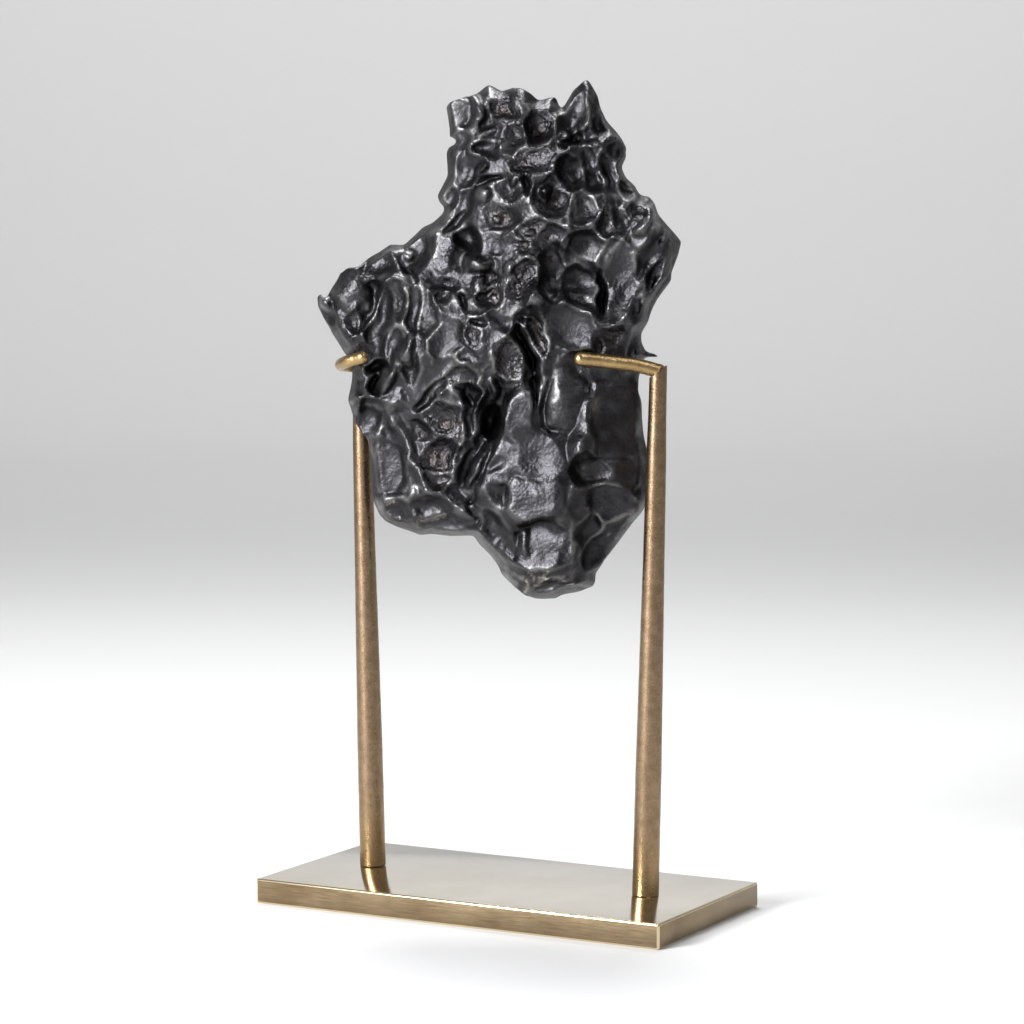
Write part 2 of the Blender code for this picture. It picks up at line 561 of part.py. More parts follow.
def main():
    clear_scene()
    iron = make_material("meteoritic_iron", METEORITE_COLOUR, 0.35)
    plate_brass = make_material("brushed_brass", PLATE_COLOUR, 0.40)
    rod_brass = make_material("golden_brass", ROD_COLOUR, 0.35)
    build_base(plate_brass)
    build_post("left_post", LEFT_POST_X, LEFT_POST_LEAN, LEFT_POST_TOP, rod_brass)
    build_post("right_post", RIGHT_POST_X, RIGHT_POST_LEAN, RIGHT_POST_TOP, rod_brass)
    left, right = arm_routes()
    build_arm("left_hook", left, LEFT_ARM_RADIUS, rod_brass)
    build_arm("right_hook", right, RIGHT_ARM_RADIUS, rod_brass)
    build_meteorite(iron)


main()
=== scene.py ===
"""Looks of an iron meteorite that hangs in its brass stand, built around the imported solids."""
import math

import bmesh
import bpy
import numpy as np
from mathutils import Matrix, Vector


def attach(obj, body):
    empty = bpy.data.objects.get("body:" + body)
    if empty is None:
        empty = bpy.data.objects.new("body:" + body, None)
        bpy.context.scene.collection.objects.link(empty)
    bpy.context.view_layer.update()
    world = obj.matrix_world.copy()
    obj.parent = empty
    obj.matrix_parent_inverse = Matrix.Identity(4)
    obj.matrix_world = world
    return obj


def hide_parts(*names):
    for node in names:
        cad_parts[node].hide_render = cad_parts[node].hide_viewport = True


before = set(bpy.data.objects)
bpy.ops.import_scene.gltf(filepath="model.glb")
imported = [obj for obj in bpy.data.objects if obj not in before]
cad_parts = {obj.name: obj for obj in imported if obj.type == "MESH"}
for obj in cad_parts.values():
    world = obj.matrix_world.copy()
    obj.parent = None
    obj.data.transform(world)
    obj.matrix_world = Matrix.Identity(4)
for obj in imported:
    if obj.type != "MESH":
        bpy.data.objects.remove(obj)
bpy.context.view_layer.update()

bl_info = {
    "name": "Meteorite on a brass stand",
    "version": (1, 0, 0),
    "blender": (4, 5, 0),
    "location": "View3D > Sidebar > Meteorite",
    "description": "Builds a scooped iron meteorite, its brass stand and a plain studio",
    "category": "Object",
}

MM = 0.001

# The meteorite's broad face looks this far round from the plate's front
FACE_TURN = math.radians(28.6)
# Its middle sheet comes forward by this much for each millimetre to the right
SHEET_SLOPE = 0.24

# Thickness of the meteorite, in millimetres from the middle sheet
FRONT_RIM = 6.0
BACK_RIM = 2.0
FRONT_SWELL = 20.0
BACK_SWELL = 16.0
SWELL_WIDTH = 26.0
THINNEST = 4.5
SLAB_HALF = 20.0

# Plate of the stand, in millimetres: length, depth, height, width of its worn edge
PLATE = (180.0, 90.0, 10.0, 0.8)

# Posts, in millimetres: foot across, lean, top; all stand at the same depth
POST_Y = 1.0
POSTS = {"left_post": (-62.8, -0.0247, 211.3), "right_post": (61.6, 0.0230, 213.6)}
POST_PROFILE = [(10.0, 5.3), (60.0, 5.1), (140.0, 4.25), (180.0, 3.9), (200.0, 3.5), (222.0, 3.3)]
POST_FOOT = 10.1

# Bent arms: radius and the route from over the post to the tip, in millimetres
ARM_RADII = {"left_hook": 2.45, "right_hook": 2.8}
ARM_ROUTES = {
    "left_hook": [(-64.0, 214.6, -28.5), (-65.4, 215.4, -18.0), (-65.4, 216.4, -6.0), (-62.6, 218.0, 3.8),
                  (-58.0, 219.4, 7.7), (-54.4, 220.5, 10.2)],
    "right_hook": [(50.0, 218.0, 31.3), (40.0, 219.3, 31.9), (33.0, 220.1, 32.2), (26.1, 220.8, 33.2)],
}
ARM_STARTS = {"left_hook": (1.5, 2.0, -0.1), "right_hook": (3.0, 0.6, -0.2)}

# Least gap between an arm and the iron beneath it, in millimetres
ARM_GAP = 0.7

# Slanted seam of the right arm and post: across, height, rise for each millimetre across
SEAM = (55.3, 213.2, 0.68)

# Grid on which the relief is worked out: first and last place, and the step, in millimetres
GRID_LOW = (-84.0, 116.0)
GRID_HIGH = (78.0, 336.0)
GRID_STEP = 0.4

# Wandering of the scoops' edges: size of the wander, its reach, its seed
WANDER = [(11.0, 1.3, 11), (4.5, 0.55, 12)]

# Small scoops that fill the ground between the larger ones: step, nudge, radii, depths, share, seed
FILLERS = [
    (17.0, 5.0, (11.0, 17.0), (1.0, 2.6), 1.0, 31),
]
BACK_FILLERS = [
    (25.0, 10.0, (9.0, 20.0), (2.5, 9.0), 1.0, 7),
    (16.0, 7.0, (4.0, 10.0), (1.5, 5.5), 0.5, 8),
    (8.0, 3.0, (2.4, 4.6), (0.8, 1.8), 0.4, 9),
]

# Broad swells and dips of the back: size, rise, seed
BACK_MASSES = [(34.0, 2.0, 91), (17.0, 1.3, 92)]

# Edge of the meteorite, as seen from the front and in millimetres: across, height
OUTLINE = [
    (-27.2, 283), (-26.2, 280.2), (-24.2, 278.6), (-25, 276), (-29, 272.4), (-33, 270.6), (-36, 267.6),
    (-40.6, 263.4), (-43, 263.7), (-46, 263.7), (-50, 261), (-54.5, 258.5), (-58.8, 254.7),
    (-63.6, 254.4), (-64.5, 252.4), (-65.6, 253), (-66.6, 250.5), (-69.6, 246), (-71.9, 241.6),
    (-71.6, 239.6), (-72.6, 241.2), (-73.8, 244.2), (-75.4, 242.8), (-75, 239), (-72.6, 234),
    (-70, 230), (-69.6, 228.6), (-67.6, 225.6), (-64.8, 221), (-62.2, 217.5), (-61.3, 213.5),
    (-61.7, 208.5), (-63.1, 202.2), (-62.5, 200), (-60.8, 194.5), (-57.5, 189.5), (-55.1, 185.6),
    (-54.5, 180), (-54, 170), (-53.3, 162.6), (-52, 159.6), (-50.6, 156.2), (-48, 153.4), (-44, 151.4),
    (-38, 149.4), (-34.5, 148), (-30, 148.6), (-22, 147.9), (-13, 148.6), (-10.6, 145), (-6, 140.5),
    (-3.6, 137.3), (-1.6, 133.4), (1.5, 131), (5, 128.4), (8, 125.6), (11.5, 124.4), (19.5, 124.7),
    (22, 126.2), (28, 127.3), (34.2, 129.7), (35, 131.2), (35.2, 135), (38.5, 140.6), (44, 147.6),
    (49, 154.4), (53.2, 159.6), (55.6, 164), (56.4, 171), (55.8, 181), (53.9, 189), (52.9, 197),
    (52.8, 203), (51.3, 207.5), (51.6, 211.5), (52.6, 216), (53.4, 219.6), (54.8, 220.2), (57.4, 220.4),
    (60.2, 220.1), (57.6, 221.7), (54.6, 222.2), (52.8, 226), (52.6, 229.5),
    (55.2, 234), (56.6, 238.4), (58.6, 242.6), (61, 246), (64, 250), (64.4, 253.4), (66.8, 260),
    (68.1, 265.2), (65.9, 268), (62.8, 271.5), (58.6, 276.4), (57.3, 280.6), (55.6, 282.7), (52, 283.2),
    (50, 287), (46.6, 289.9), (44.8, 294), (46.8, 298.4), (46.3, 300), (46.9, 301.2), (45, 305),
    (42.8, 307.9), (39, 312), (36.6, 317), (35.6, 321.6), (32.4, 327), (31.2, 328.2), (29.8, 327.1),
    (26.2, 324), (24.2, 320.6), (22, 316.8), (20.6, 317.4), (19.6, 320.9), (18.2, 321.5), (14.5, 320.4),
    (12.2, 320.1), (9.5, 322.7), (6, 324.7), (2.6, 325), (-1.8, 323.7), (-6.4, 326.3), (-7.6, 326),
    (-11, 323.3), (-14, 321.6), (-16, 321.9), (-18.4, 320.7), (-22, 319.5), (-23.6, 317.8),
    (-22.8, 313), (-22.2, 308.6), (-22.4, 306), (-20.2, 305.6), (-19.5, 304.2), (-20.2, 302.9),
    (-22.4, 302.2), (-23.5, 300), (-23, 291), (-25, 287),
]

# Broad swells and dips: across, height, half width, half height, turn, rise
MASSES = [
    (12, 160, 20, 34, 0, 8), (20, 205, 14, 14, 0, 4), (47, 193, 13, 26, 6, -15),
    (44, 157, 10, 15, -35, -9), (-46, 172, 12, 20, 0, -8), (-33, 156, 16, 6, 0, -7),
    (-26, 190, 12, 14, 0, -4), (-10, 185, 8, 18, -10, -3), (-9, 256, 11, 10, 0, 4),
    (44, 270, 12, 12, 0, 4), (-44, 256, 8, 6, 0, 2), (-25, 263, 7, 9, 0, 2), (5, 305, 22, 12, 0, -2),
    (30, 248, 10, 14, 0, -3), (12, 133, 20, 5, 0, -2), (-52, 235, 10, 16, 0, -2),
]

# Flat faces: across, height, half width, half height, turn, slope across, slope up, lift, roughness
FACES = [
    (43.5, 196, 10.5, 20, 4, -0.60, 0.0, 0, 0), (41.5, 163.6, 10, 8.4, -24, -0.34, 0.12, 0, 0),
    (52, 268.6, 7, 4.6, 40, 0.24, -0.24, 0.8, 0), (48, 254, 6.5, 9.5, -18, 0.05, 0.04, 0, 0),
    (24.5, 230, 8.6, 7.6, -30, 0.12, -0.08, 0, 0), (4.2, 198, 5.8, 10.4, -12, 0.06, -0.02, 1.6, 0),
    (9.8, 165.6, 10.4, 9.6, 20, 0.08, -0.06, 0.2, 0.1), (13, 147, 13.5, 10.6, 0, 0.12, -0.18, 0.2, 0),
   
    (-46.6, 177, 7.2, 12.4, 8, 0.02, 0.0, -0.6, 0), (-56, 194, 4.4, 6.6, -20, -0.05, -0.1, 0, 0),
    (-29.4, 157.4, 8.0, 4.4, -8, 0.0, 0.1, 0, 0), (-25, 262.6, 5.2, 7.6, -10, 0.22, -0.22, 1.4, 0.35),
    (-43.6, 256.8, 5.6, 4.8, -20, 0.24, -0.24, 1.2, 0.5), (-18, 314.6, 5.2, 6.4, 0, 0.0, 0.0, 0, 0),
    (38.9, 300.4, 3.0, 5.8, -20, 0.24, -0.2, 1.0, 0.2), (27, 216, 5.5, 4.2, 30, -0.05, 0.0, 0, 0),
]

# Scoops: across, height, half width, half height, turn, depth, lean across, lean up, flatness, roughness
SCOOPS = [
    (-2, 317.5, 6.3, 5.2, 0, 4.2, 0, 0, 0.3, 1),
    (-8, 316, 2.2, 6, 10, 2.0, 0, 0, 0, 0), (13.5, 313.5, 4.6, 6.2, 0, 5.0, 0, 0.1, 0.2, 0.7),
    (19.2, 319.4, 1.4, 1.8, 0, 4.0, 0, 0, 0, 0), (26, 318, 4.6, 9, -14, 2.6, -0.2, 0, 0.3, 0),
    (36.5, 315, 2, 8, 25, 2.2, 0.2, 0, 0.2, 0), (27.6, 305.4, 5.2, 3.8, -8, 6.0, 0, 0, 0.2, 0.4),
    (34, 306, 5, 3, 5, 3.0, 0, 0, 0.2, 0.2), (34, 296.2, 3.6, 5.4, 8, 4.0, 0, 0, 0.3, 0),
    (28.3, 292.4, 6.6, 5.0, 24, 5.0, 0, 0.1, 0.3, 0), (42.5, 292, 3.4, 7, 10, 4.0, 0.1, 0, 0.2, 0),
    (44, 301, 2.6, 5, 10, 3.0, 0.25, 0, 0.2, 0), (47.6, 286.3, 2.9, 2.4, -40, 5.0, 0, 0, 0.1, 0),
    (10, 298.5, 11, 6.5, 0, 4.5, 0, 0, 0.4, 1), (1, 307, 7, 4.5, 20, 3.5, 0, 0, 0.2, 0.6),
    (-9, 301.9, 5, 3.2, 8, 5.5, 0, 0, 0.2, 0), (-17.8, 304, 2.8, 3.6, 0, 2.5, 0, 0, 0.3, 0.3),
    (-18.6, 292.5, 5, 6, -10, 3.0, -0.1, 0, 0.3, 0), (-23.6, 283.5, 3, 3.4, 0, 2.0, -0.1, 0, 0.3, 0),
    (-10.5, 287, 6.5, 2.0, 22, 4.0, 0, 0, 0.1, 0.3), (7.2, 287.4, 1.9, 4.9, 2, 7, 0, 0, 0.5, 0),
    (-0.5, 285.5, 5, 4.2, 0, 3.5, 0, 0, 0.2, 0.2), (-17.6, 280.5, 3.6, 4.2, 0, 2.2, 0, 0, 0.5, 0),
    (19.5, 284, 8.2, 7.2, 0, 6.5, 0.05, 0, 0.2, 0.7),
    (30.6, 280.4, 4.8, 6.8, -8, 4.6, 0, 0.05, 0.2, 0.2), (36, 291, 3, 4, 0, 2.5, 0, 0, 0.2, 0),
    (39.0, 272.5, 4.4, 6.2, -10, 4.0, 0, 0, 0.4, 1), (45.2, 275.5, 3.2, 6.5, 5, 2.6, 0, 0, 0.3, 0),
    (50.6, 278.2, 3, 4, -10, 3.0, 0, 0, 0.4, 0.8), (57.5, 261.5, 4, 8.5, -24, 3.0, 0, 0, 0.2, 0),
    (31, 262.2, 7.6, 6.6, 0, 5.0, -0.1, 0.1, 0.4, 0), (29.5, 250.4, 8.2, 5.2, -8, 5.4, 0, 0.05, 0.4, 0),
    (30.5, 243.6, 6.6, 3.4, -22, 4.0, 0, 0, 0.3, 0.7), (37.0, 246, 1.5, 7.5, -3, 6, 0, 0, 0.1, 0.2),
    (46, 250, 8.2, 11, -14, 2.6, 0, 0, 0.4, 0.1), (59, 253.5, 2.2, 8, -22, 4.2, 0.1, 0, 0.2, 0),
    (50.8, 237.5, 2.8, 6, -10, 4.0, 0.15, 0, 0.2, 0.2), (43, 229, 5, 4.2, 0, 3.2, 0, 0, 0.4, 1),
    (35.5, 225.5, 2.8, 4, 0, 4, 0, 0, 0.4, 0.8), (50.2, 225.6, 2.1, 5, 0, 2.8, 0, 0, 0.3, 0),
    (20, 254, 4.5, 8.5, 10, 4.5, 0, 0, 0.2, 0.3), (17, 266, 7, 5.5, 15, 3.8, 0, 0, 0.3, 0.4),
    (-4, 275.5, 6.8, 5.2, 0, 3.6, 0, 0, 0.4, 0.6), (8, 269.8, 7.4, 4.8, 10, 4.6, 0, 0, 0.3, 0.8),
    (-15.6, 266.2, 3.8, 5.4, 20, 5.0, 0, 0, 0.2, 0), (-18.4, 273.5, 2.4, 6, -38, 3.5, 0, 0, 0.2, 0),
    (5.5, 263.6, 6.5, 2.6, 5, 3.6, 0, 0, 0.3, 1), (7.0, 252, 9.4, 6.4, 30, 6.0, 0, 0, 0.3, 0.9),
    (-17.2, 243.6, 1.8, 4.6, 24, 4.5, 0, 0, 0.2, 0), (-8.5, 253, 4.6, 3.0, 0, 2.4, 0, 0, 0.3, 0.6),
    (-6, 246.5, 4.0, 5, -35, 3.0, 0, 0, 0.3, 0.7), (-10.8, 234.2, 4.6, 2.0, 4, 4.5, 0, 0, 0.2, 0),
    (-25, 250.5, 6, 3.6, 0, 2.6, 0, 0, 0.3, 0.3), (-25, 245, 3, 3.4, 0, 2.6, 0, 0, 0.3, 0.3),
    (-35.5, 263.5, 4.6, 6.6, -25, 3.0, 0, 0, 0.4, 0), (-25, 229, 6.2, 12, 5, 2.4, 0, 0, 0.55, 0),
    (-13, 229.5, 4.8, 3.6, 15, 4.2, 0, 0, 0.3, 1), (-15, 221.5, 4, 3.2, -10, 3.2, 0, 0, 0.3, 0.5),
    (-17, 213, 5.5, 3.6, 8, 4.0, 0, 0, 0.3, 0.3), (-13.4, 205.4, 2.6, 6.4, 14, 6.5, 0, 0, 0.3, 0),
    (1.5, 218, 6.4, 9.5, 20, 5.0, -0.05, 0, 0.5, 1), (6.6, 222.5, 1.9, 10.5, 20, 9.0, 0, 0, 0.3, 0),
    (10.6, 209.5, 1.3, 6, 6, 6, 0, 0, 0.3, 0), (12.5, 227.5, 3.6, 9, 10, 4.6, 0, 0, 0.4, 0.8),
    (-2, 236.2, 4.2, 4, 0, 2.0, 0, 0, 0.5, 0), (5.5, 236.5, 4.5, 4, 0, 3.2, 0, 0, 0.3, 0.1),
    (25, 231, 9.6, 9.5, -30, 3.4, 0, 0, 0.5, 0), (31, 211, 3.4, 4.4, 0, 3.2, 0, 0, 0.3, 0.6),
    (-6.0, 194.6, 3.3, 8.4, -14, 9, 0, 0, 0.4, 0), (-13.8, 193.5, 2.6, 7.2, -8, 6.0, 0, 0, 0.3, 0),
     (-16.5, 174.5, 3.6, 9.4, -16, 5, 0, 0, 0.2, 0),
    (-20, 181, 3.4, 3.4, 0, 4.0, 0, 0, 0.5, 0), (-25, 196, 8.2, 6.6, 0, 4.4, 0, 0, 0.5, 0.8),
    (-30, 204.5, 9.5, 2.6, 34, 5.0, 0, 0, 0.3, 0), (-35, 192, 4, 4, 0, 3, 0, 0, 0.3, 0.3),
    (-28.5, 182, 6.2, 6.4, 0, 5.2, 0, 0, 0.4, 1), (-26.6, 173, 4.6, 3.4, -10, 3.6, 0, 0, 0.3, 0.6),
    (12.5, 185.5, 10.5, 10.6, 0, 2.4, 0, -0.06, 0.5, 0.1), (-51.5, 256, 5, 3.5, 30, 2.2, 0, 0, 0.3, 0.4),
    (-40.8, 257.2, 1.6, 4.5, 35, 2.4, 0, 0, 0.1, 0), (-45, 243.2, 4.2, 7.4, 0, 4.2, 0, 0, 0.4, 0.1),
    (-36.8, 241.6, 3.2, 9.6, 0, 3.2, 0, 0, 0.3, 0), (-32, 242, 2.4, 8.4, 0, 1.8, 0, 0, 0.3, 0),
    (-54.2, 242, 3.4, 8.6, -18, 6.0, 0, 0, 0.2, 0), (-50.2, 236.8, 3.4, 9.0, -18, 4.0, 0, 0, 0.3, 0),
    (-61, 234.4, 4.0, 4.4, 0, 3.4, 0, 0, 0.3, 0.7), (-65, 246.5, 2.0, 5.5, -20, 3.0, 0, 0, 0.2, 0.2),
    (-71.4, 234, 1.6, 8, -24, 1.6, 0, 0, 0.3, 0), (-51.5, 217, 4.6, 4.4, 10, 6.5, 0, 0, 0.3, 0),
    (-57.5, 222.5, 4.2, 4.2, 0, 3.4, 0, 0, 0.3, 0), (-50.2, 208.8, 2.4, 5.2, -10, 8, 0, 0, 0.2, 0),
    (-45.5, 224, 3.4, 5.4, -10, 3.4, 0, 0, 0.3, 0.1), (-37, 213, 3.4, 8, -12, 4.2, 0, 0, 0.3, 0.3),
    (-58.4, 207.5, 2.6, 3.6, 0, 2.6, 0, 0, 0.3, 0.4), (-56, 194, 4.6, 5.6, -20, 3.0, 0, 0, 0.4, 0),
    (-47.5, 190, 3.6, 8.5, 25, 3.4, 0, 0, 0.4, 0), 
    (-38, 173.5, 2.2, 8.2, 28, 2.6, 0, 0, 0.3, 0), (-44.4, 158.3, 6.0, 3.2, -8, 4.0, 0, 0, 0.3, 0.7),
    (-31, 160.5, 5.6, 3.8, -8, 3.0, 0, 0, 0.3, 0), (-27, 153, 8.5, 3.4, 0, 2.4, 0, 0, 0.4, 0),
    (-3, 167, 4.6, 6.6, 0, 3.4, 0, 0, 0.3, 0.2), (-3.5, 178, 5.0, 3.2, 28, 2.4, 0, 0, 0.3, 0),
    (23.4, 168, 2.2, 9, 4, 1.6, 0, 0, 0.2, 0), 
    (24, 146, 3.6, 7.4, -8, 1.2, 0, 0, 0.3, 0.5), (-3.4, 149, 3.4, 7.4, 28, 2.4, 0, 0, 0.3, 0.1),
    (8.4, 136.4, 4.2, 1.8, 0, 1.4, 0, 0, 0.3, 0.8), 
    (40, 177.2, 7.6, 3.6, 0, 1.6, 0, 0, 0.5, 0.15), (50, 168.5, 2.6, 4.2, 20, 3.4, 0, 0, 0.3, 1),
     (42.5, 148.6, 4.0, 9, -40, 2.4, 0, 0, 0.3, 0),
    (33.8, 151.5, 3.4, 5.4, -10, 2.4, 0, 0, 0.3, 0),
    (13, 129.4, 12, 2.6, 0, 2.4, 0, 0, 0.4, 0),
]

# Lumps: across, height, half width, half height, turn, height of the cap, lift
LUMPS = [
    (-11, 316, 2.3, 5.4, 24, 3.2, 0.3), (6.3, 318.6, 5.2, 5.0, 0, 3, 0.2),
    (31.6, 322, 2.6, 6, 10, 2.2, 0.4), (34.6, 312.5, 1.8, 5, 32, 2.2, 0.3),
    (21, 305, 2.7, 2.8, 0, 4, 0.8),  (-9, 307, 4.6, 2.2, 10, 4, 0),
    (-9.2, 293.2, 2.8, 4.6, -24, 4.5, 0.3), (-7.8, 282, 3.6, 3.4, 0, 4, 0.6),
    (2.4, 288.6, 2.6, 4.2, 0, 3.2, 0), (13.6, 284, 4.4, 3.4, 0, 5, 0), (38.5, 289, 1.9, 4, 18, 3, 0.2),
    (52, 271.5, 2.2, 5.6, -32, 4, 0.3), (59.8, 266, 3.2, 2.4, 30, 2.6, 0),
    (44, 256.6, 1.6, 3, 0, 2, -2), (28.6, 264, 4.6, 1.4, -40, 3, -4.5),
    (34.8, 263, 2.4, 1.8, 0, 3, -4.5), (31.6, 252.4, 2.6, 1.8, -20, 3, -4),
    (17.6, 245.4, 3, 2, -10, 3, -0.3), (-4, 274.6, 2.6, 2.2, 0, 3, -0.6),
    (8, 269.6, 3.8, 2.4, 0, 4, -0.8), 
    (-11, 256.6, 6.4, 4.0, 12, 5, 0.4), (1, 256.6, 2.8, 2.8, 0, 4, 0.2),
    (-11, 247.5, 4.2, 6.4, 14, 4, -0.8), (-3.6, 245.2, 2.0, 2.2, 0, 3, -0.6),
    (-36.8, 223.6, 3.6, 6.6, 0, 3.8, 0.2), (-44.4, 213, 3.0, 9.4, -22, 4.6, 0.6),
    (-42.6, 240.4, 2.0, 3.6, 0, 3, -1.4), (-36, 239.4, 1.4, 4.0, 8, 3, -2.2),
    (-60, 243.8, 3.8, 6.4, 0, 1.6, 0.2), (-68.4, 240.6, 2.6, 2.8, 0, 2.4, 0.3),
     (-37.8, 259, 2.6, 3.0, 30, 3, 0.2),
    (-58.4, 203.4, 3.2, 2.6, 0, 3, 0.2), (21.4, 203.6, 9.4, 14.6, 4, 3.6, 0.7),
    (-5.6, 211.4, 3.2, 5.6, 10, 4, -0.2), (12.6, 216, 2, 2.8, 0, 3, -0.4),
     (6.4, 147, 2.6, 8, 0, 1.6, 0),
    (-9.6, 176, 3.0, 9.4, -24, 4, -1.0), (-21, 207.4, 2.9, 1.5, 12, 3, -1), (29, 298.5, 2, 2, 0, 1, -3),
]

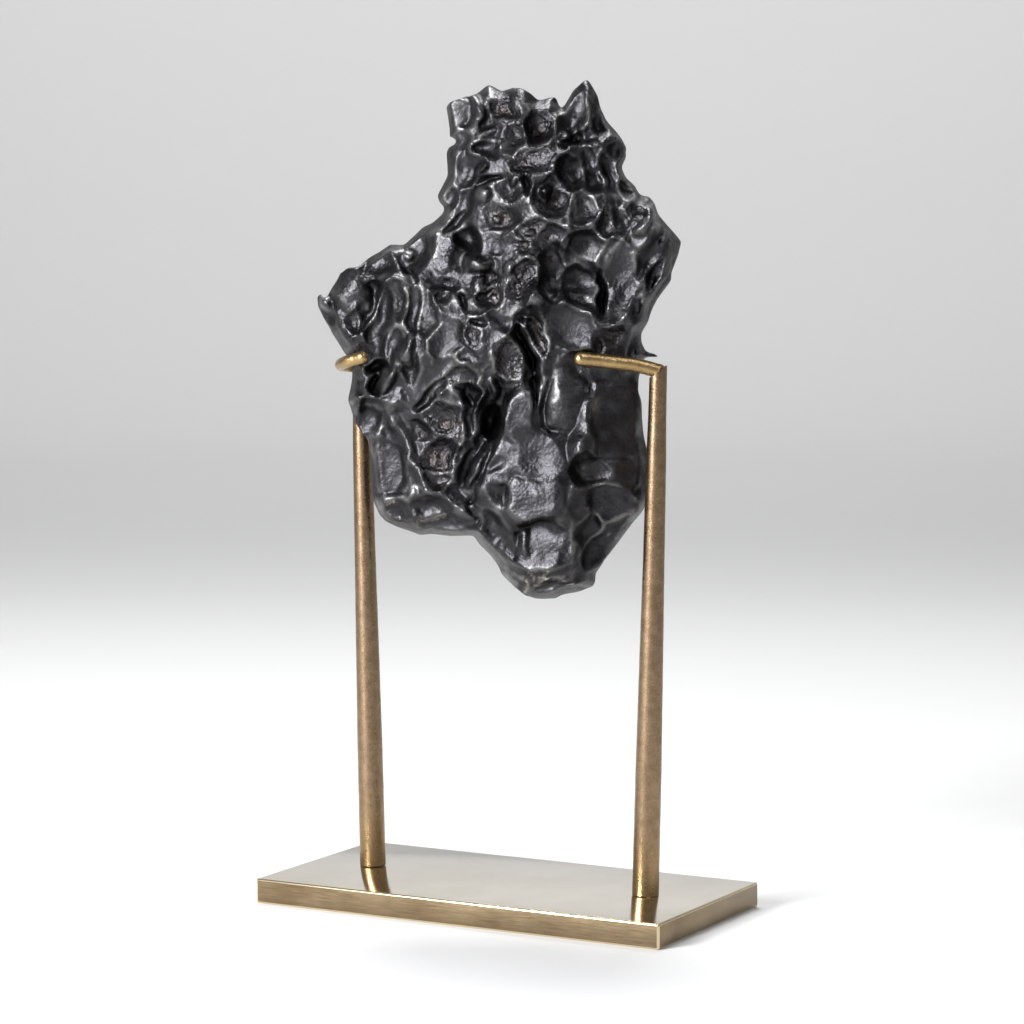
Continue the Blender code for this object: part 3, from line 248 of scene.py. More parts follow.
# Sharp crests: width, height, points
CRESTS = [
    (1.2, 1.6, [(-8, 321.5), (-7, 317), (-5, 314.5), (0, 314)]),
    (1.0, 1.4, [(10, 312.5), (10.6, 306)]),
    (1.3, 1.4, [(2, 313), (4, 311), (6, 311)]),
    (1.2, 1.6, [(22.4, 311), (24, 312), (27.4, 313)]),
    (1.2, 2.2, [(23, 293), (25, 296.5), (28, 298.5), (30.5, 299.6)]),
    (1.0, 1.4, [(40.2, 306.6), (37.5, 304), (35.3, 300.4)]),
    (1.3, 2.0, [(-13.4, 306.2), (-13.8, 302.4), (-12.6, 300)]),
    (1.3, 1.8, [(-12.2, 304), (-9, 304.6), (-5.6, 306.4)]),
    (1.0, 1.5, [(-3.6, 301.6), (-1, 303.2)]),
    (1.0, 1.2, [(-21.6, 309.2), (-17, 310)]),
    (1.1, 1.5, [(-5, 298.6), (-10, 297.6), (-12, 297), (-14, 293), (-16, 288), (-20, 281.5),
               (-22, 277), (-24, 273.5), (-27, 270.5), (-29, 270), (-32.8, 270.4)]),
    (1.4, 1.6, [(-28.6, 270), (-30, 266), (-29.5, 262), (-29, 257)]),
    (1.2, 1.6, [(5, 281.5), (10, 280), (14, 279), (18, 277.2), (20, 276)]),
    (1.1, 2.0, [(25.4, 286.4), (27, 282), (26.5, 279), (24.5, 275), (23.5, 272.5), (25.5, 269.6),
               (23.6, 265), (23, 261), (21.4, 257.6)]),
    (1.1, 1.6, [(25.4, 286.4), (28, 287.4), (31, 286.6), (34, 283), (35, 280.6)]),
    (1.0, 1.6, [(25.5, 269.6), (31, 270.2)]),
    (1.1, 1.6, [(39.5, 284), (38, 280), (36.5, 277.5), (35, 275)]),
    (1.1, 1.4, [(39.5, 284), (43, 283), (47, 281.8), (47, 278), (48.6, 273.6)]),
    (1.3, 2.2, [(54.5, 276.4), (51, 273), (49, 270.5), (46.5, 267.5), (43, 264), (41, 262.5),
               (39.5, 259.5), (37, 255.4)]),
    (1.0, 1.4, [(35, 268), (39, 265), (41, 264.6)]),
    (1.4, 2.2, [(14, 248.6), (16, 246), (17.5, 243.6), (20, 243.6), (23, 242.5), (28, 240.3),
               (32.5, 238.8), (34, 237), (36, 234.5), (38, 233), (40, 232.2), (42, 234), (44, 235.5),
               (46.5, 238.5), (48, 241.5), (50, 243.5), (54.5, 245.8), (55, 248), (56, 252), (57, 256),
               (58.5, 259), (61, 261.6)]),
    (1.0, 1.8, [(7, 239.6), (9, 243), (12, 246.6), (14, 248.6)]),
    (0.9, 1.8, [(47, 283), (50, 282.4), (53, 280), (56, 277), (58, 274), (60, 270.5), (62.6, 269),
               (64, 266), (64.4, 262), (63.6, 258), (63, 254), (62, 252), (59, 248), (56.5, 243.5),
               (54.5, 240.5), (53, 236), (52, 232), (51.4, 228)]),
    (1.3, 1.8, [(4, 273.5), (2.5, 271), (0.5, 268.5), (-1.5, 267.5), (-4, 267), (-7, 265.5)]),
    (1.3, 1.8, [(-17, 252), (-15, 257), (-11, 260), (-6, 260), (-2, 259.5), (1.5, 258.6), (2, 256),
               (-0.5, 253)]),
    (1.3, 1.6, [(1.6, 258.6), (5, 260), (8, 261), (12, 261.8), (16, 261)]),
    (1.5, 3.0, [(-21, 245.6), (-19.5, 242), (-17.5, 239), (-14.5, 237), (-11, 236.6), (-8, 237.5),
               (-5.5, 240), (-3, 242)]),
    (1.1, 1.6, [(-3, 251.6), (-6, 249), (-8, 246.5), (-9.5, 243)]),
    (1.0, 1.5, [(-29.5, 247.4), (-28, 243), (-25, 241.2), (-23, 242)]),
    (1.2, 1.8, [(-50, 251), (-46, 251.8), (-43, 250.6), (-40, 251), (-38, 252.8), (-35, 253)]),
    (0.9, 1.4, [(-39.7, 249), (-40.4, 240), (-40.6, 235), (-38, 230), (-35, 229.4)]),
    (1.0, 1.8, [(-50.4, 245.4), (-53, 240), (-54.6, 236)]),
    (1.2, 1.6, [(-63.6, 252), (-61.5, 250), (-59.5, 249.3), (-57.5, 250.3)]),
    (1.0, 1.6, [(-67, 233.4), (-65, 229), (-63.6, 226.4), (-61.5, 227.6), (-59, 228)]),
    (1.0, 1.2, [(-66, 235), (-65.4, 238), (-62, 239), (-57.6, 238.4), (-57.4, 234), (-59, 230.6)]),
    (1.0, 1.4, [(-30.4, 231.4), (-31, 227), (-30, 222), (-28, 220), (-29, 216)]),
    (1.1, 1.8, [(-18, 228), (-18.5, 225), (-19, 221), (-20, 219), (-23, 215), (-24, 212), (-27, 208),
               (-30, 203.6), (-32, 201)]),
    (1.0, 1.4, [(-19, 220), (-17, 218), (-13.5, 219)]),
    (1.0, 1.2, [(-20.6, 214), (-14, 216)]),
    (1.1, 1.8, [(0, 228.2), (-3, 226), (-6, 223), (-7, 219), (-9, 216), (-9.5, 212), (-11, 211.5),
               (-14, 212.6)]),
    (1.0, 1.4, [(-5.8, 202.6), (-5, 206.4), (-2.6, 209.4), (3, 209.4), (8.6, 209.6), (10.4, 206)]),
    (1.0, 1.4, [(15.6, 227), (15, 219.4), (13.4, 218)]),
    (1.2, 1.6, [(27, 226), (22, 221), (17, 215), (14, 210), (11.5, 205.5)]),
    (1.0, 1.6, [(34.6, 206), (33, 208.6), (31.6, 208.4), (31.6, 206), (33.4, 204), (34, 200),
               (32.5, 196), (30.5, 192), (28.5, 189.5), (28.5, 181), (28.5, 178.5), (30, 176), (32, 173)]),
    (2.4, 2.2, [(33.8, 203), (34, 200), (32.5, 196), (30.5, 192), (28.5, 189.5), (28.5, 181)]),
    (0.9, 1.2, [(39.4, 209), (43.6, 214)]),
    (1.2, 1.8, [(32, 173.2), (40, 171.6), (45, 171), (48, 169), (51, 164), (52.4, 160)]),
    (1.1, 1.6, [(34.6, 145), (38, 149), (43, 153.6)]),
    (1.0, 1.4, [(-9, 200.4), (-9.5, 195), (-11, 190), (-12.5, 187)]),
    (1.1, 1.6, [(-17.4, 204.4), (-16.5, 200), (-18, 196), (-20, 192), (-23, 190), (-29, 190.4)]),
    (1.4, 2.0, [(-62, 201), (-58, 199.6), (-53, 199.8), (-50, 199), (-47, 199), (-45, 201), (-41, 203),
               (-39, 204.5)]),
    (1.0, 1.4, [(-59, 204.5), (-56, 202), (-53, 200)]),
    (1.0, 1.2, [(-52, 203.6), (-49, 202.8), (-45.5, 203)]),
    (1.1, 1.6, [(-46, 199), (-44, 193), (-42.5, 189), (-40.5, 186), (-38, 184), (-35, 182.6)]),
    (1.3, 2.2, [(-42.6, 189), (-41, 183), (-38.5, 177), (-35.5, 172), (-33, 169), (-29, 167),
               (-25, 165), (-20, 162.5), (-16, 160), (-13, 156.5), (-10.5, 152), (-9, 148), (-6, 144)]),
    (1.0, 1.6, [(-34, 183), (-33.5, 176), (-31, 172), (-27, 169), (-22, 166.5), (-18, 163), (-14, 158.5)]),
    (1.4, 2.4, [(-49.6, 160.4), (-45, 162), (-40, 162), (-38, 164), (-36.8, 167), (-35.6, 169)]),
    (0.9, 1.2, [(-47.6, 156.4), (-44, 155), (-41, 154.6)]),
    (1.0, 1.4, [(-33, 158), (-28, 159), (-24, 158.6), (-20, 155), (-16, 150)]),
    (0.9, 1.2, [(-35, 150.6), (-31, 151.6), (-28, 154)]),
    (0.9, 1.2, [(-6, 174.6), (0, 179)]),
    (0.9, 1.4, [(-8, 172), (0, 172), (3, 176)]),
    (0.7, 1.8, [(-9, 151), (-3, 153.6)]),
    (0.7, 1.8, [(-7.5, 148.6), (-1, 153.6)]),
    (0.7, 1.8, [(-5.5, 145), (-0.6, 153)]),
    (0.7, 1.8, [(-3, 141.6), (0.6, 152)]),
    (1.4, 2.2, [(-1, 138.6), (1, 136.5), (4, 134.5), (8, 133.5), (13.5, 134.5), (20, 133), (26, 132),
               (34, 130.6)]),
    
    (0.9, 1.4, [(3, 232), (4.6, 235.6)]),
    (0.9, 1.4, [(7, 232), (8.6, 236)]),
    (1.2, 1.6, [(31, 327), (31.6, 320), (33.5, 315), (35, 312), (37.4, 309.4), (41, 307)]),
]

# Grooves: width, depth, points
GROOVES = [
    (1.0, 2.2, [(-15, 284), (-11, 286.5), (-6, 288.5), (-1, 291)]),
    (0.9, 1.6, [(-23, 299.2), (-20, 298.6), (-14, 299.6)]),
    (1.0, 1.6, [(-10, 270), (-4, 271.2), (0, 271)]),
    (1.0, 2.0, [(1, 264.6), (10, 265)]),
    (1.0, 2.0, [(2, 254), (5, 257), (9, 258.6)]),
    (1.2, 3.5, [(36, 252), (37.6, 246), (37, 240), (38, 237.4)]),
    (1.1, 2.4, [(65.6, 262), (64.6, 257.6), (64, 253.4), (61, 249.6), (58, 244.6), (56, 240), (54, 234)]),
    (1.0, 2.0, [(50, 284.6), (54, 281), (57.6, 276.4), (61, 272), (64.6, 268)]),
    (0.8, 2.2, [(-17.5, 225), (-14, 225), (-10, 226.4)]),
    (1.0, 3.0, [(19, 214), (15.6, 207), (14.2, 200), (15, 194.4), (17.6, 192.4), (21, 192.2)]),
    (0.9, 1.4, [(17, 172), (13, 173.6), (8, 174.6), (3, 175), (0, 171), (-1, 166), (-0.5, 161),
               (1.5, 157.5), (3, 155), (9, 155), (12, 157), (15, 160.6)]),
    (1.1, 3.4, [(-9, 176), (-12, 170), (-12.5, 165), (-15, 162), (-12, 158), (-10, 154)]),
    (0.8, 1.8, [(3.8, 154), (3.5, 148), (3, 141)]),
    (0.8, 1.6, [(33, 181), (39, 181.6), (45, 181.6), (49, 181)]),
    (0.8, 1.2, [(-53, 165.4), (-45, 166), (-40, 165.4)]),
    (0.9, 1.2, [(22.6, 176), (23, 166), (21.6, 160)]),
    (1.0, 2.2, [(-14.5, 212), (-15.4, 206), (-12, 199.6)]),
    (0.9, 2.2, [(14.8, 234), (10, 236.6), (5, 237)]),
]

# Bright worn metal and painted highlight along the main ridges: width, strength, points
WEAR_AND_HIGHLIGHT = [
    (1.6, 1.0, [(34, 205), (34, 200), (32, 195), (30, 190), (28.6, 186), (28.6, 179), (30, 175.5), (32, 173)]),
    (0.8, 1.0, [(-50.4, 159), (-47.6, 161.8), (-43, 162.6), (-39.4, 163), (-37.4, 165), (-36.6, 168),
               (-35, 169)]),
    (1.0, 0.9, [(-62, 201.6), (-57, 200), (-50, 199.2), (-46, 200.4), (-41, 203.4)]),
    (0.9, 0.9, [(-20.8, 244.6), (-19.4, 241.6), (-17.4, 238.8), (-14.4, 237), (-11, 236.4), (-8, 237.4),
               (-5, 240.4)]),
    (0.9, 0.8, [(8, 240.6), (14, 248), (17, 243.8), (23, 242.4), (29, 240), (34, 237), (38, 233), (41.6, 233.4),
               (46, 238), (50, 243.4), (54.4, 245.6)]),
    (0.8, 0.8, [(0, 137.6), (4, 134.6), (9, 133.6), (14, 134.4), (20, 133), (27, 132), (34, 130.6)]),
    (0.9, 0.9, [(38, 255.6), (40.6, 261.4), (44, 264.4), (48, 268.6)]),
    (1.0, 0.8, [(-50, 251), (-45, 251.8), (-40, 251), (-36, 253)]),
    (0.8, 0.8, [(39.4, 283.4), (44, 283), (47, 281.6), (47.4, 277), (48.8, 273.4)]),
    (0.8, 0.7, [(24, 271.6), (26.6, 277), (27, 282), (25.4, 286.4)]),
    (0.8, 0.8, [(-32.4, 270), (-30.4, 266), (-30, 261)]),
    (0.7, 0.7, [(-10, 209.4), (-7, 203), (-5.6, 206.4)]),
    (0.7, 0.7, [(32, 172.4), (40, 171.8), (45, 171)]),
    (0.7, 0.7, [(-20, 219), (-24, 212), (-28, 206.4), (-31, 202)]),
]

# Valleys between the large forms: half width, depth, points
VALLEYS = [
    (7.0, 8.0, [(1, 213), (-3, 203), (-7, 195), (-10, 187), (-14, 178), (-18, 168), (-19, 163)]),
    (7.0, 6.0, [(18, 262), (26, 258), (33, 250), (38, 242)]),
    (4.0, 4.0, [(3, 234), (8, 222), (11, 208)]),
    (5.0, 4.0, [(-52, 250), (-54, 240), (-50, 230), (-52, 218), (-50, 207)]),
    (4.0, 3.5, [(-16, 284), (-18, 275), (-14, 264), (-20, 255)]),
    (6.0, 5.0, [(31, 162), (31.5, 150), (31.5, 140), (33, 129)]),
    (4.5, 4.0, [(26, 305), (31, 297), (30, 289)]),
    (6.0, -6.0, [(33, 212), (33.5, 203), (31.5, 193), (28.8, 186), (29, 178), (32, 171)]),
    (5.0, -4.0, [(37, 255), (41, 263), (48, 269.5), (55, 277)]),
    (5.0, -4.0, [(8, 240), (15, 247), (24, 242.5), (33, 238.5), (37, 233), (42, 234), (49, 242)]),
    (4.5, -4.0, [(-47, 199), (-43, 190), (-38, 179), (-32, 169), (-22, 164), (-13, 156), (-8, 147)]),
    (4.5, -3.0, [(-62, 201), (-53, 200), (-45, 201), (-39, 204.5)]),
    (4.5, -3.0, [(-52, 250), (-44, 251.5), (-35, 253)]),
]


def place(across, height, forward):
    """World point of a place on the meteorite's broad face, given in millimetres."""
    x = across * math.cos(FACE_TURN) + forward * math.sin(FACE_TURN)
    y = across * math.sin(FACE_TURN) - forward * math.cos(FACE_TURN)
    return Vector((x, y, height)) * MM


def value_noise(across, height, size, seed):
    """Smooth noise between about -2 and 2 that repeats only far outside the meteorite."""
    cells = 128
    table = np.random.default_rng(seed).standard_normal((cells, cells))
    x = (across / size) % cells
    y = (height / size) % cells
    column = np.floor(x).astype(int) % cells
    row = np.floor(y).astype(int) % cells
    step_x = x - np.floor(x)
    step_y = y - np.floor(y)
    step_x = step_x * step_x * (3 - 2 * step_x)
    step_y = step_y * step_y * (3 - 2 * step_y)
    right = (column + 1) % cells
    above = (row + 1) % cells
    low = table[column, row] * (1 - step_x) + table[right, row] * step_x
    high = table[column, above] * (1 - step_x) + table[right, above] * step_x
    return low * (1 - step_y) + high * step_y


def line_distance(across, height, points, closed=False):
    """Distance from each place to a run of straight pieces, and how far along the run it is."""
    ends = list(points[1:])
    starts = list(points[:-1])
    if closed:
        ends.append(points[0])
        starts.append(points[-1])
    lengths = [math.hypot(b[0] - a[0], b[1] - a[1]) for a, b in zip(starts, ends)]
    total = sum(lengths)
    nearest = np.full(across.shape, 1.0e9)
    along = np.zeros(across.shape)
    passed = 0.0
    for (start_u, start_z), (end_u, end_z), length in zip(starts, ends, lengths):
        run_u = end_u - start_u
        run_z = end_z - start_z
        share = ((across - start_u) * run_u + (height - start_z) * run_z) / (length * length)
        share = np.clip(share, 0.0, 1.0)
        gap = np.hypot(across - start_u - share * run_u, height - start_z - share * run_z)
        closer = gap < nearest
        nearest = np.where(closer, gap, nearest)
        along = np.where(closer, (passed + share * length) / total, along)
        passed += length
    return nearest, along


def soft_minimum(first, second, softness):
    overlap = np.maximum(softness - np.abs(first - second), 0.0) / softness
    return np.minimum(first, second) - overlap * overlap * softness * 0.25


def soft_maximum(first, second, softness):
    return -soft_minimum(-first, -second, softness)


def oval(across, height, centre_u, centre_z, half_u, half_z, turn):
    """Square of the distance from an oval's centre: 1 on the oval itself."""
    angle = math.radians(turn)
    du = across - centre_u
    dz = height - centre_z
    along = (du * math.cos(angle) + dz * math.sin(angle)) / half_u
    aside = (dz * math.cos(angle) - du * math.sin(angle)) / half_z
    return along * along + aside * aside


def blurred(grid, radius):
    """The grid smoothed over about this many millimetres."""
    reach = max(int(math.ceil(3.0 * radius / GRID_STEP)), 1)
    steps = np.arange(-reach, reach + 1) * GRID_STEP
    weights = np.exp(-0.5 * (steps / radius) ** 2)
    weights = weights / weights.sum()
    result = grid
    for axis in (0, 1):
        padded = np.pad(result, [(reach, reach) if index == axis else (0, 0) for index in (0, 1)], mode="edge")
        total = np.zeros_like(result)
        for offset, weight in enumerate(weights):
            window = [slice(None), slice(None)]
            window[axis] = slice(offset, offset + result.shape[axis])
            total += weight * padded[tuple(window)]
        result = total
    return result


def scatter(step, nudge, radii, depths, kept, seed):
    """Seeded scoops in staggered rows over the whole face."""
    chance = np.random.default_rng(seed)
    scoops = []
    for row, row_height in enumerate(np.arange(122.0, 332.0, step * 0.87)):
        first = -80.0 + (row % 2) * step / 2
        for column in np.arange(first, 74.0, step):
            centre_u = column + chance.uniform(-nudge, nudge)
            centre_z = row_height + chance.uniform(-nudge, nudge)
            half_u = chance.uniform(*radii)
            half_z = chance.uniform(*radii)
            turn = chance.uniform(0.0, 180.0)
            depth = chance.uniform(*depths)
            if chance.random() < kept:
                scoops.append((centre_u, centre_z, half_u, half_z, turn, depth))
    return scoops


class Relief:
    """The meteorite's relief on a fine grid: its front and back, and masks for its colour and finish, among them worn
    metal with painted highlight along the ridges.
    """

    def __init__(self):
        self.columns = np.arange(GRID_LOW[0], GRID_HIGH[0], GRID_STEP)
        self.rows = np.arange(GRID_LOW[1], GRID_HIGH[1], GRID_STEP)
        self.across, self.height = np.meshgrid(self.columns, self.rows)
        self.inward = line_distance(self.across, self.height, OUTLINE, closed=True)[0]
        self.inward = np.where(self.inside(), self.inward, 0.0)
        self.fade = np.clip(self.inward / 7.0, 0.0, 1.0)
        shift_u = np.zeros_like(self.across)
        shift_z = np.zeros_like(self.across)
        for size, reach, seed in WANDER:
            shift_u = shift_u + reach * value_noise(self.across, self.height, size, seed)
            shift_z = shift_z + reach * value_noise(self.across, self.height, size, seed + 2)
        self.shift_u = shift_u
        self.shift_z = shift_z
        self.rough = np.zeros_like(self.across)
        self.front = self.front_surface()
        self.back = self.back_surface()

    def inside(self):
        """True on the grid places that lie within the outline."""
        odd = np.zeros(self.across.shape, dtype=bool)
        for (u0, z0), (u1, z1) in zip(OUTLINE, OUTLINE[1:] + OUTLINE[:1]):
            if z0 == z1:
                continue
            crosses = (self.height > min(z0, z1)) & (self.height <= max(z0, z1))
            edge = u0 + (self.height - z0) * (u1 - u0) / (z1 - z0)
            odd ^= crosses & (self.across < edge)
        return odd

    def level(self, grid, centre_u, centre_z):
        column = int(np.clip(round((centre_u - GRID_LOW[0]) / GRID_STEP), 0, len(self.columns) - 1))
        row = int(np.clip(round((centre_z - GRID_LOW[1]) / GRID_STEP), 0, len(self.rows) - 1))
        return grid[row, column]

    def swell(self, rim, top):
        share = np.clip(self.inward / SWELL_WIDTH, 0.0, 1.0)
        return rim + top * np.sqrt(np.clip(1.0 - (1.0 - share) ** 2, 0.0, 1.0))

    def local_level(self, surface, centre_u, centre_z, reach):
        """Mean height of the surface around a place."""
        column = int(np.clip(round((centre_u - GRID_LOW[0]) / GRID_STEP), 0, len(self.columns) - 1))
        row = int(np.clip(round((centre_z - GRID_LOW[1]) / GRID_STEP), 0, len(self.rows) - 1))
        cells = max(int(reach / GRID_STEP), 1)
        return surface[max(row - cells, 0):row + cells + 1, max(column - cells, 0):column + cells + 1].mean()

    def front_surface(self):
        ground = self.swell(FRONT_RIM, FRONT_SWELL)
        for centre_u, centre_z, half_u, half_z, turn, rise in MASSES:
            spot = oval(self.across, self.height, centre_u, centre_z, half_u, half_z, turn)
            ground = ground + rise * self.fade * np.exp(-1.3 * spot)
        ground = blurred(ground, 1.0)
        wavy_u = self.across + self.shift_u
        wavy_z = self.height + self.shift_z
        near_u = self.across + 0.35 * self.shift_u
        near_z = self.height + 0.35 * self.shift_z
        surface = ground + 1.2 * self.fade
        for row in FILLERS:
            for centre_u, centre_z, half_u, half_z, turn, depth in scatter(*row):
                spot = oval(wavy_u, wavy_z, centre_u, centre_z, half_u, half_z, turn)
                floor = self.level(ground, centre_u, centre_z) - depth
                lean_u = 0.3 * math.sin(7.0 * centre_u + 3.0 * centre_z)
                lean_z = 0.3 * math.cos(5.0 * centre_u - 8.0 * centre_z)
                tilt = lean_u * (self.across - centre_u) + lean_z * (self.height - centre_z)
                surface = soft_minimum(surface, floor + depth * spot + tilt, 0.5)
        sunk = blurred(ground + 1.2 * self.fade - surface, 14.0)
        surface = surface + sunk * np.clip(self.inward / 4.5, 0.0, 1.0) ** 0.6
        for width, depth, points in VALLEYS:
            away, along = line_distance(near_u, near_z, points)
            taper = np.clip(np.minimum(along, 1.0 - along) * 4.0, 0.0, 1.0) ** 0.5
            surface = surface - depth * taper * np.clip(1.0 - (away / width) ** 2, 0.0, 1.0)
        for centre_u, centre_z, half_u, half_z, turn, slope_u, slope_z, lift, rough in FACES:
            spot = oval(wavy_u, wavy_z, centre_u, centre_z, half_u, half_z, turn)
            level = self.local_level(surface, centre_u, centre_z, 0.8 * min(half_u, half_z)) + lift
            face = level + slope_u * (self.across - centre_u) + slope_z * (self.height - centre_z)
            share = np.clip((1.4 - spot) / 0.9, 0.0, 1.0)
            share = share * share * (3.0 - 2.0 * share)
            surface = surface + share * (face - surface)
            self.rough = self.rough + share * (rough - self.rough)
        for centre_u, centre_z, half_u, half_z, turn, depth, lean_u, lean_z, flatness, rough in SCOOPS:
            spot = oval(wavy_u, wavy_z, centre_u, centre_z, 1.1 * half_u, 1.1 * half_z, turn)
            rim = self.local_level(surface, centre_u, centre_z, 0.8 * min(half_u, half_z)) + 0.5
            depth = depth * (0.85 if depth < 7.0 else 0.9)
            bowl = rim - depth + depth * spot ** (1.0 + 0.8 * flatness)
            bowl = bowl + lean_u * (self.across - centre_u) + lean_z * (self.height - centre_z)
            self.rough = np.where((bowl < surface) & (spot < 1.2), rough, self.rough)
            surface = soft_minimum(surface, bowl, 0.25)
        for centre_u, centre_z, half_u, half_z, turn, cap, lift in LUMPS:
            spot = oval(wavy_u, wavy_z, centre_u, centre_z, half_u, half_z, turn)
            foot = self.local_level(surface, centre_u, centre_z, 0.8 * min(half_u, half_z))
            surface = soft_maximum(surface, foot + lift + 0.85 * cap - 1.3 * cap * spot, 0.5)
        raised = np.zeros_like(surface)
        broken = 0.72 + 0.22 * value_noise(self.across, self.height, 4.0, 61)
        broken = np.clip(broken + 0.2 * value_noise(self.across, self.height, 1.6, 62), 0.1, 1.15)
        for width, rise, points in CRESTS:
            away, along = line_distance(near_u, near_z, points)
            taper = np.clip(np.minimum(along, 1.0 - along) * 6.0, 0.0, 1.0)
            lip = 0.3 * np.exp(-away / (2.2 * width)) + 0.55 * np.exp(-away / (0.45 * width))
            raised = np.maximum(raised, rise * taper * lip)
        surface = surface + raised * broken
        # Bright worn metal and painted highlight along the listed main ridges
        self.wear_and_highlight = np.zeros_like(surface)
        for width, strength, points in WEAR_AND_HIGHLIGHT:
            away, along = line_distance(near_u, near_z, points)
            self.wear_and_highlight = np.maximum(self.wear_and_highlight, strength * np.clip(broken * 1.2, 0.3, 1.0) * np.exp(-(away / width) ** 2))
        for width, depth, points in GROOVES:
            away, along = line_distance(near_u, near_z, points)
            taper = np.clip(np.minimum(along, 1.0 - along) * 8.0, 0.25, 1.0)
            surface = surface - depth * taper * np.exp(-away / width)
        self.rough = blurred(self.rough, 1.8)
        patchy = 0.75 + 0.3 * value_noise(self.across, self.height, 3.2, 71)
        self.rough = np.clip(self.rough * patchy + 0.06, 0.0, 1.0)
        wrinkles = value_noise(self.across, self.height, 1.5, 51) + value_noise(self.across, self.height, 0.9, 52)
        surface = surface + (0.02 + 0.2 * self.rough) * wrinkles
        rolling = value_noise(self.across, self.height, 6.0, 21)
        rolling = rolling + 0.5 * value_noise(self.across, self.height, 3.0, 22)
        surface = surface + 0.25 * self.fade * rolling
        surface = surface + 0.25 * self.fade * (surface - blurred(surface, 1.1))
        return soft_minimum(surface, self.ceiling_under_arm("right_hook"), 0.4)

    def ceiling_under_arm(self, name):
        """Highest that the front may reach beneath an arm that lies across it."""
        route = ARM_ROUTES[name]
        away, along = line_distance(self.across, self.height, [(u, z) for u, z, forward in route])
        forward = route[0][2] + (route[-1][2] - route[0][2]) * along
        return forward - SHEET_SLOPE * self.across - ARM_RADII[name] - ARM_GAP + 0.25 * away * away

    def back_surface(self):
        ground = self.swell(BACK_RIM, BACK_SWELL)
        for size, rise, seed in BACK_MASSES:
            ground = ground + rise * self.fade * value_noise(self.across, self.height, size, seed)
        surface = ground + 1.5 * self.fade
        for row in BACK_FILLERS:
            for centre_u, centre_z, half_u, half_z, turn, depth in scatter(*row):
                spot = oval(self.across + self.shift_u, self.height + self.shift_z,
                            centre_u, centre_z, half_u, half_z, turn)
                bowl = self.level(ground, centre_u, centre_z) - depth + depth * spot
                surface = soft_minimum(surface, bowl, 0.6)
        rolling = value_noise(self.across, self.height, 6.0, 23)
        surface = surface + 0.35 * self.fade * rolling
        patches = 0.3 + 0.35 * value_noise(self.across, self.height, 13.0, 95)
        self.back_rough = np.clip(patches, 0.05, 1.0)
        wrinkles = value_noise(self.across, self.height, 1.5, 53) + value_noise(self.across, self.height, 0.9, 54)
        surface = surface + 0.18 * self.back_rough * wrinkles
        return surface + 0.5 * self.fade * (surface - blurred(surface, 1.1))

    def sample(self, grid, across, height):
        """The grid's value at any places, blended between its points."""
        x = np.clip((across - GRID_LOW[0]) / GRID_STEP, 0.0, len(self.columns) - 1.001)
        y = np.clip((height - GRID_LOW[1]) / GRID_STEP, 0.0, len(self.rows) - 1.001)
        column = x.astype(int)
        row = y.astype(int)
        step_x = x - column
        step_y = y - row
        low = grid[row, column] * (1 - step_x) + grid[row, column + 1] * step_x
        high = grid[row + 1, column] * (1 - step_x) + grid[row + 1, column + 1] * step_x
        return low * (1 - step_y) + high * step_y

    def crest_mask(self, grid):
        """How sharply each place stands out: 0 on open ground, 1 on a sharp edge."""
        fine = blurred(grid, 0.4) - blurred(grid, 0.9)
        return 0.6 * np.clip((fine - 0.06) / 0.12, 0.0, 1.0)

    def hollow_mask(self, grid):
        """How far each place lies below its surroundings."""
        return np.clip((blurred(grid, 5.0) - grid) / 5.0, 0.0, 1.0)


def evaluated_copy(item):
    """The item's mesh as its modifiers leave it."""
    graph = bpy.context.evaluated_depsgraph_get()
    return bpy.data.meshes.new_from_object(item.evaluated_get(graph), depsgraph=graph)


def link_object(name, data, material):
    item = bpy.data.objects.new(name, data)
    bpy.context.scene.collection.objects.link(item)
    data.materials.clear()
    data.materials.append(material)
    return item


def apply_remesh(item, size):
    remesh = item.modifiers.new("even_faces", "REMESH")
    remesh.mode = "VOXEL"
    remesh.voxel_size = size
    item.data = evaluated_copy(item)
    item.modifiers.clear()


def outline_slab():
    """A flat slab with the meteorite's outline, its faces at plus and minus SLAB_HALF along Y."""
    body = bmesh.new()
    rim = [body.verts.new((u * MM, SLAB_HALF * MM, z * MM)) for u, z in OUTLINE]
    face = body.faces.new(rim)
    grown = bmesh.ops.extrude_face_region(body, geom=[face])
    moved = [part for part in grown["geom"] if isinstance(part, bmesh.types.BMVert)]
    bmesh.ops.translate(body, verts=moved, vec=(0.0, -2.0 * SLAB_HALF * MM, 0.0))
    bmesh.ops.recalc_face_normals(body, faces=body.faces[:])
    mesh = bpy.data.meshes.new("meteorite_slab")
    body.to_mesh(mesh)
    body.free()
    return mesh


def mesh_points(mesh):
    flat = np.empty(len(mesh.vertices) * 3)
    mesh.vertices.foreach_get("co", flat)
    return flat.reshape(-1, 3)


def shape_slab(mesh, relief):
    """Moves the slab's points onto the scooped front and back and turns the whole to its place."""
    points = mesh_points(mesh)
    across = points[:, 0] / MM
    height = points[:, 2] / MM
    share = np.clip(-points[:, 1] / (SLAB_HALF * MM), -1.0, 1.0)
    front = relief.sample(relief.front, across, height)
    back = -relief.sample(relief.back, across, height)
    back = np.minimum(back, front - THINNEST)
    forward = back + (front - back) * (share + 1.0) / 2.0 + SHEET_SLOPE * across
    points[:, 0] = (across * math.cos(FACE_TURN) + forward * math.sin(FACE_TURN)) * MM
    points[:, 1] = (across * math.sin(FACE_TURN) - forward * math.cos(FACE_TURN)) * MM
    mesh.vertices.foreach_set("co", points.ravel())
    mesh.update()


def add_mask(mesh, name, values):
    layer = mesh.attributes.new(name, "FLOAT", "POINT")
    layer.data.foreach_set("value", values.astype(np.float32))


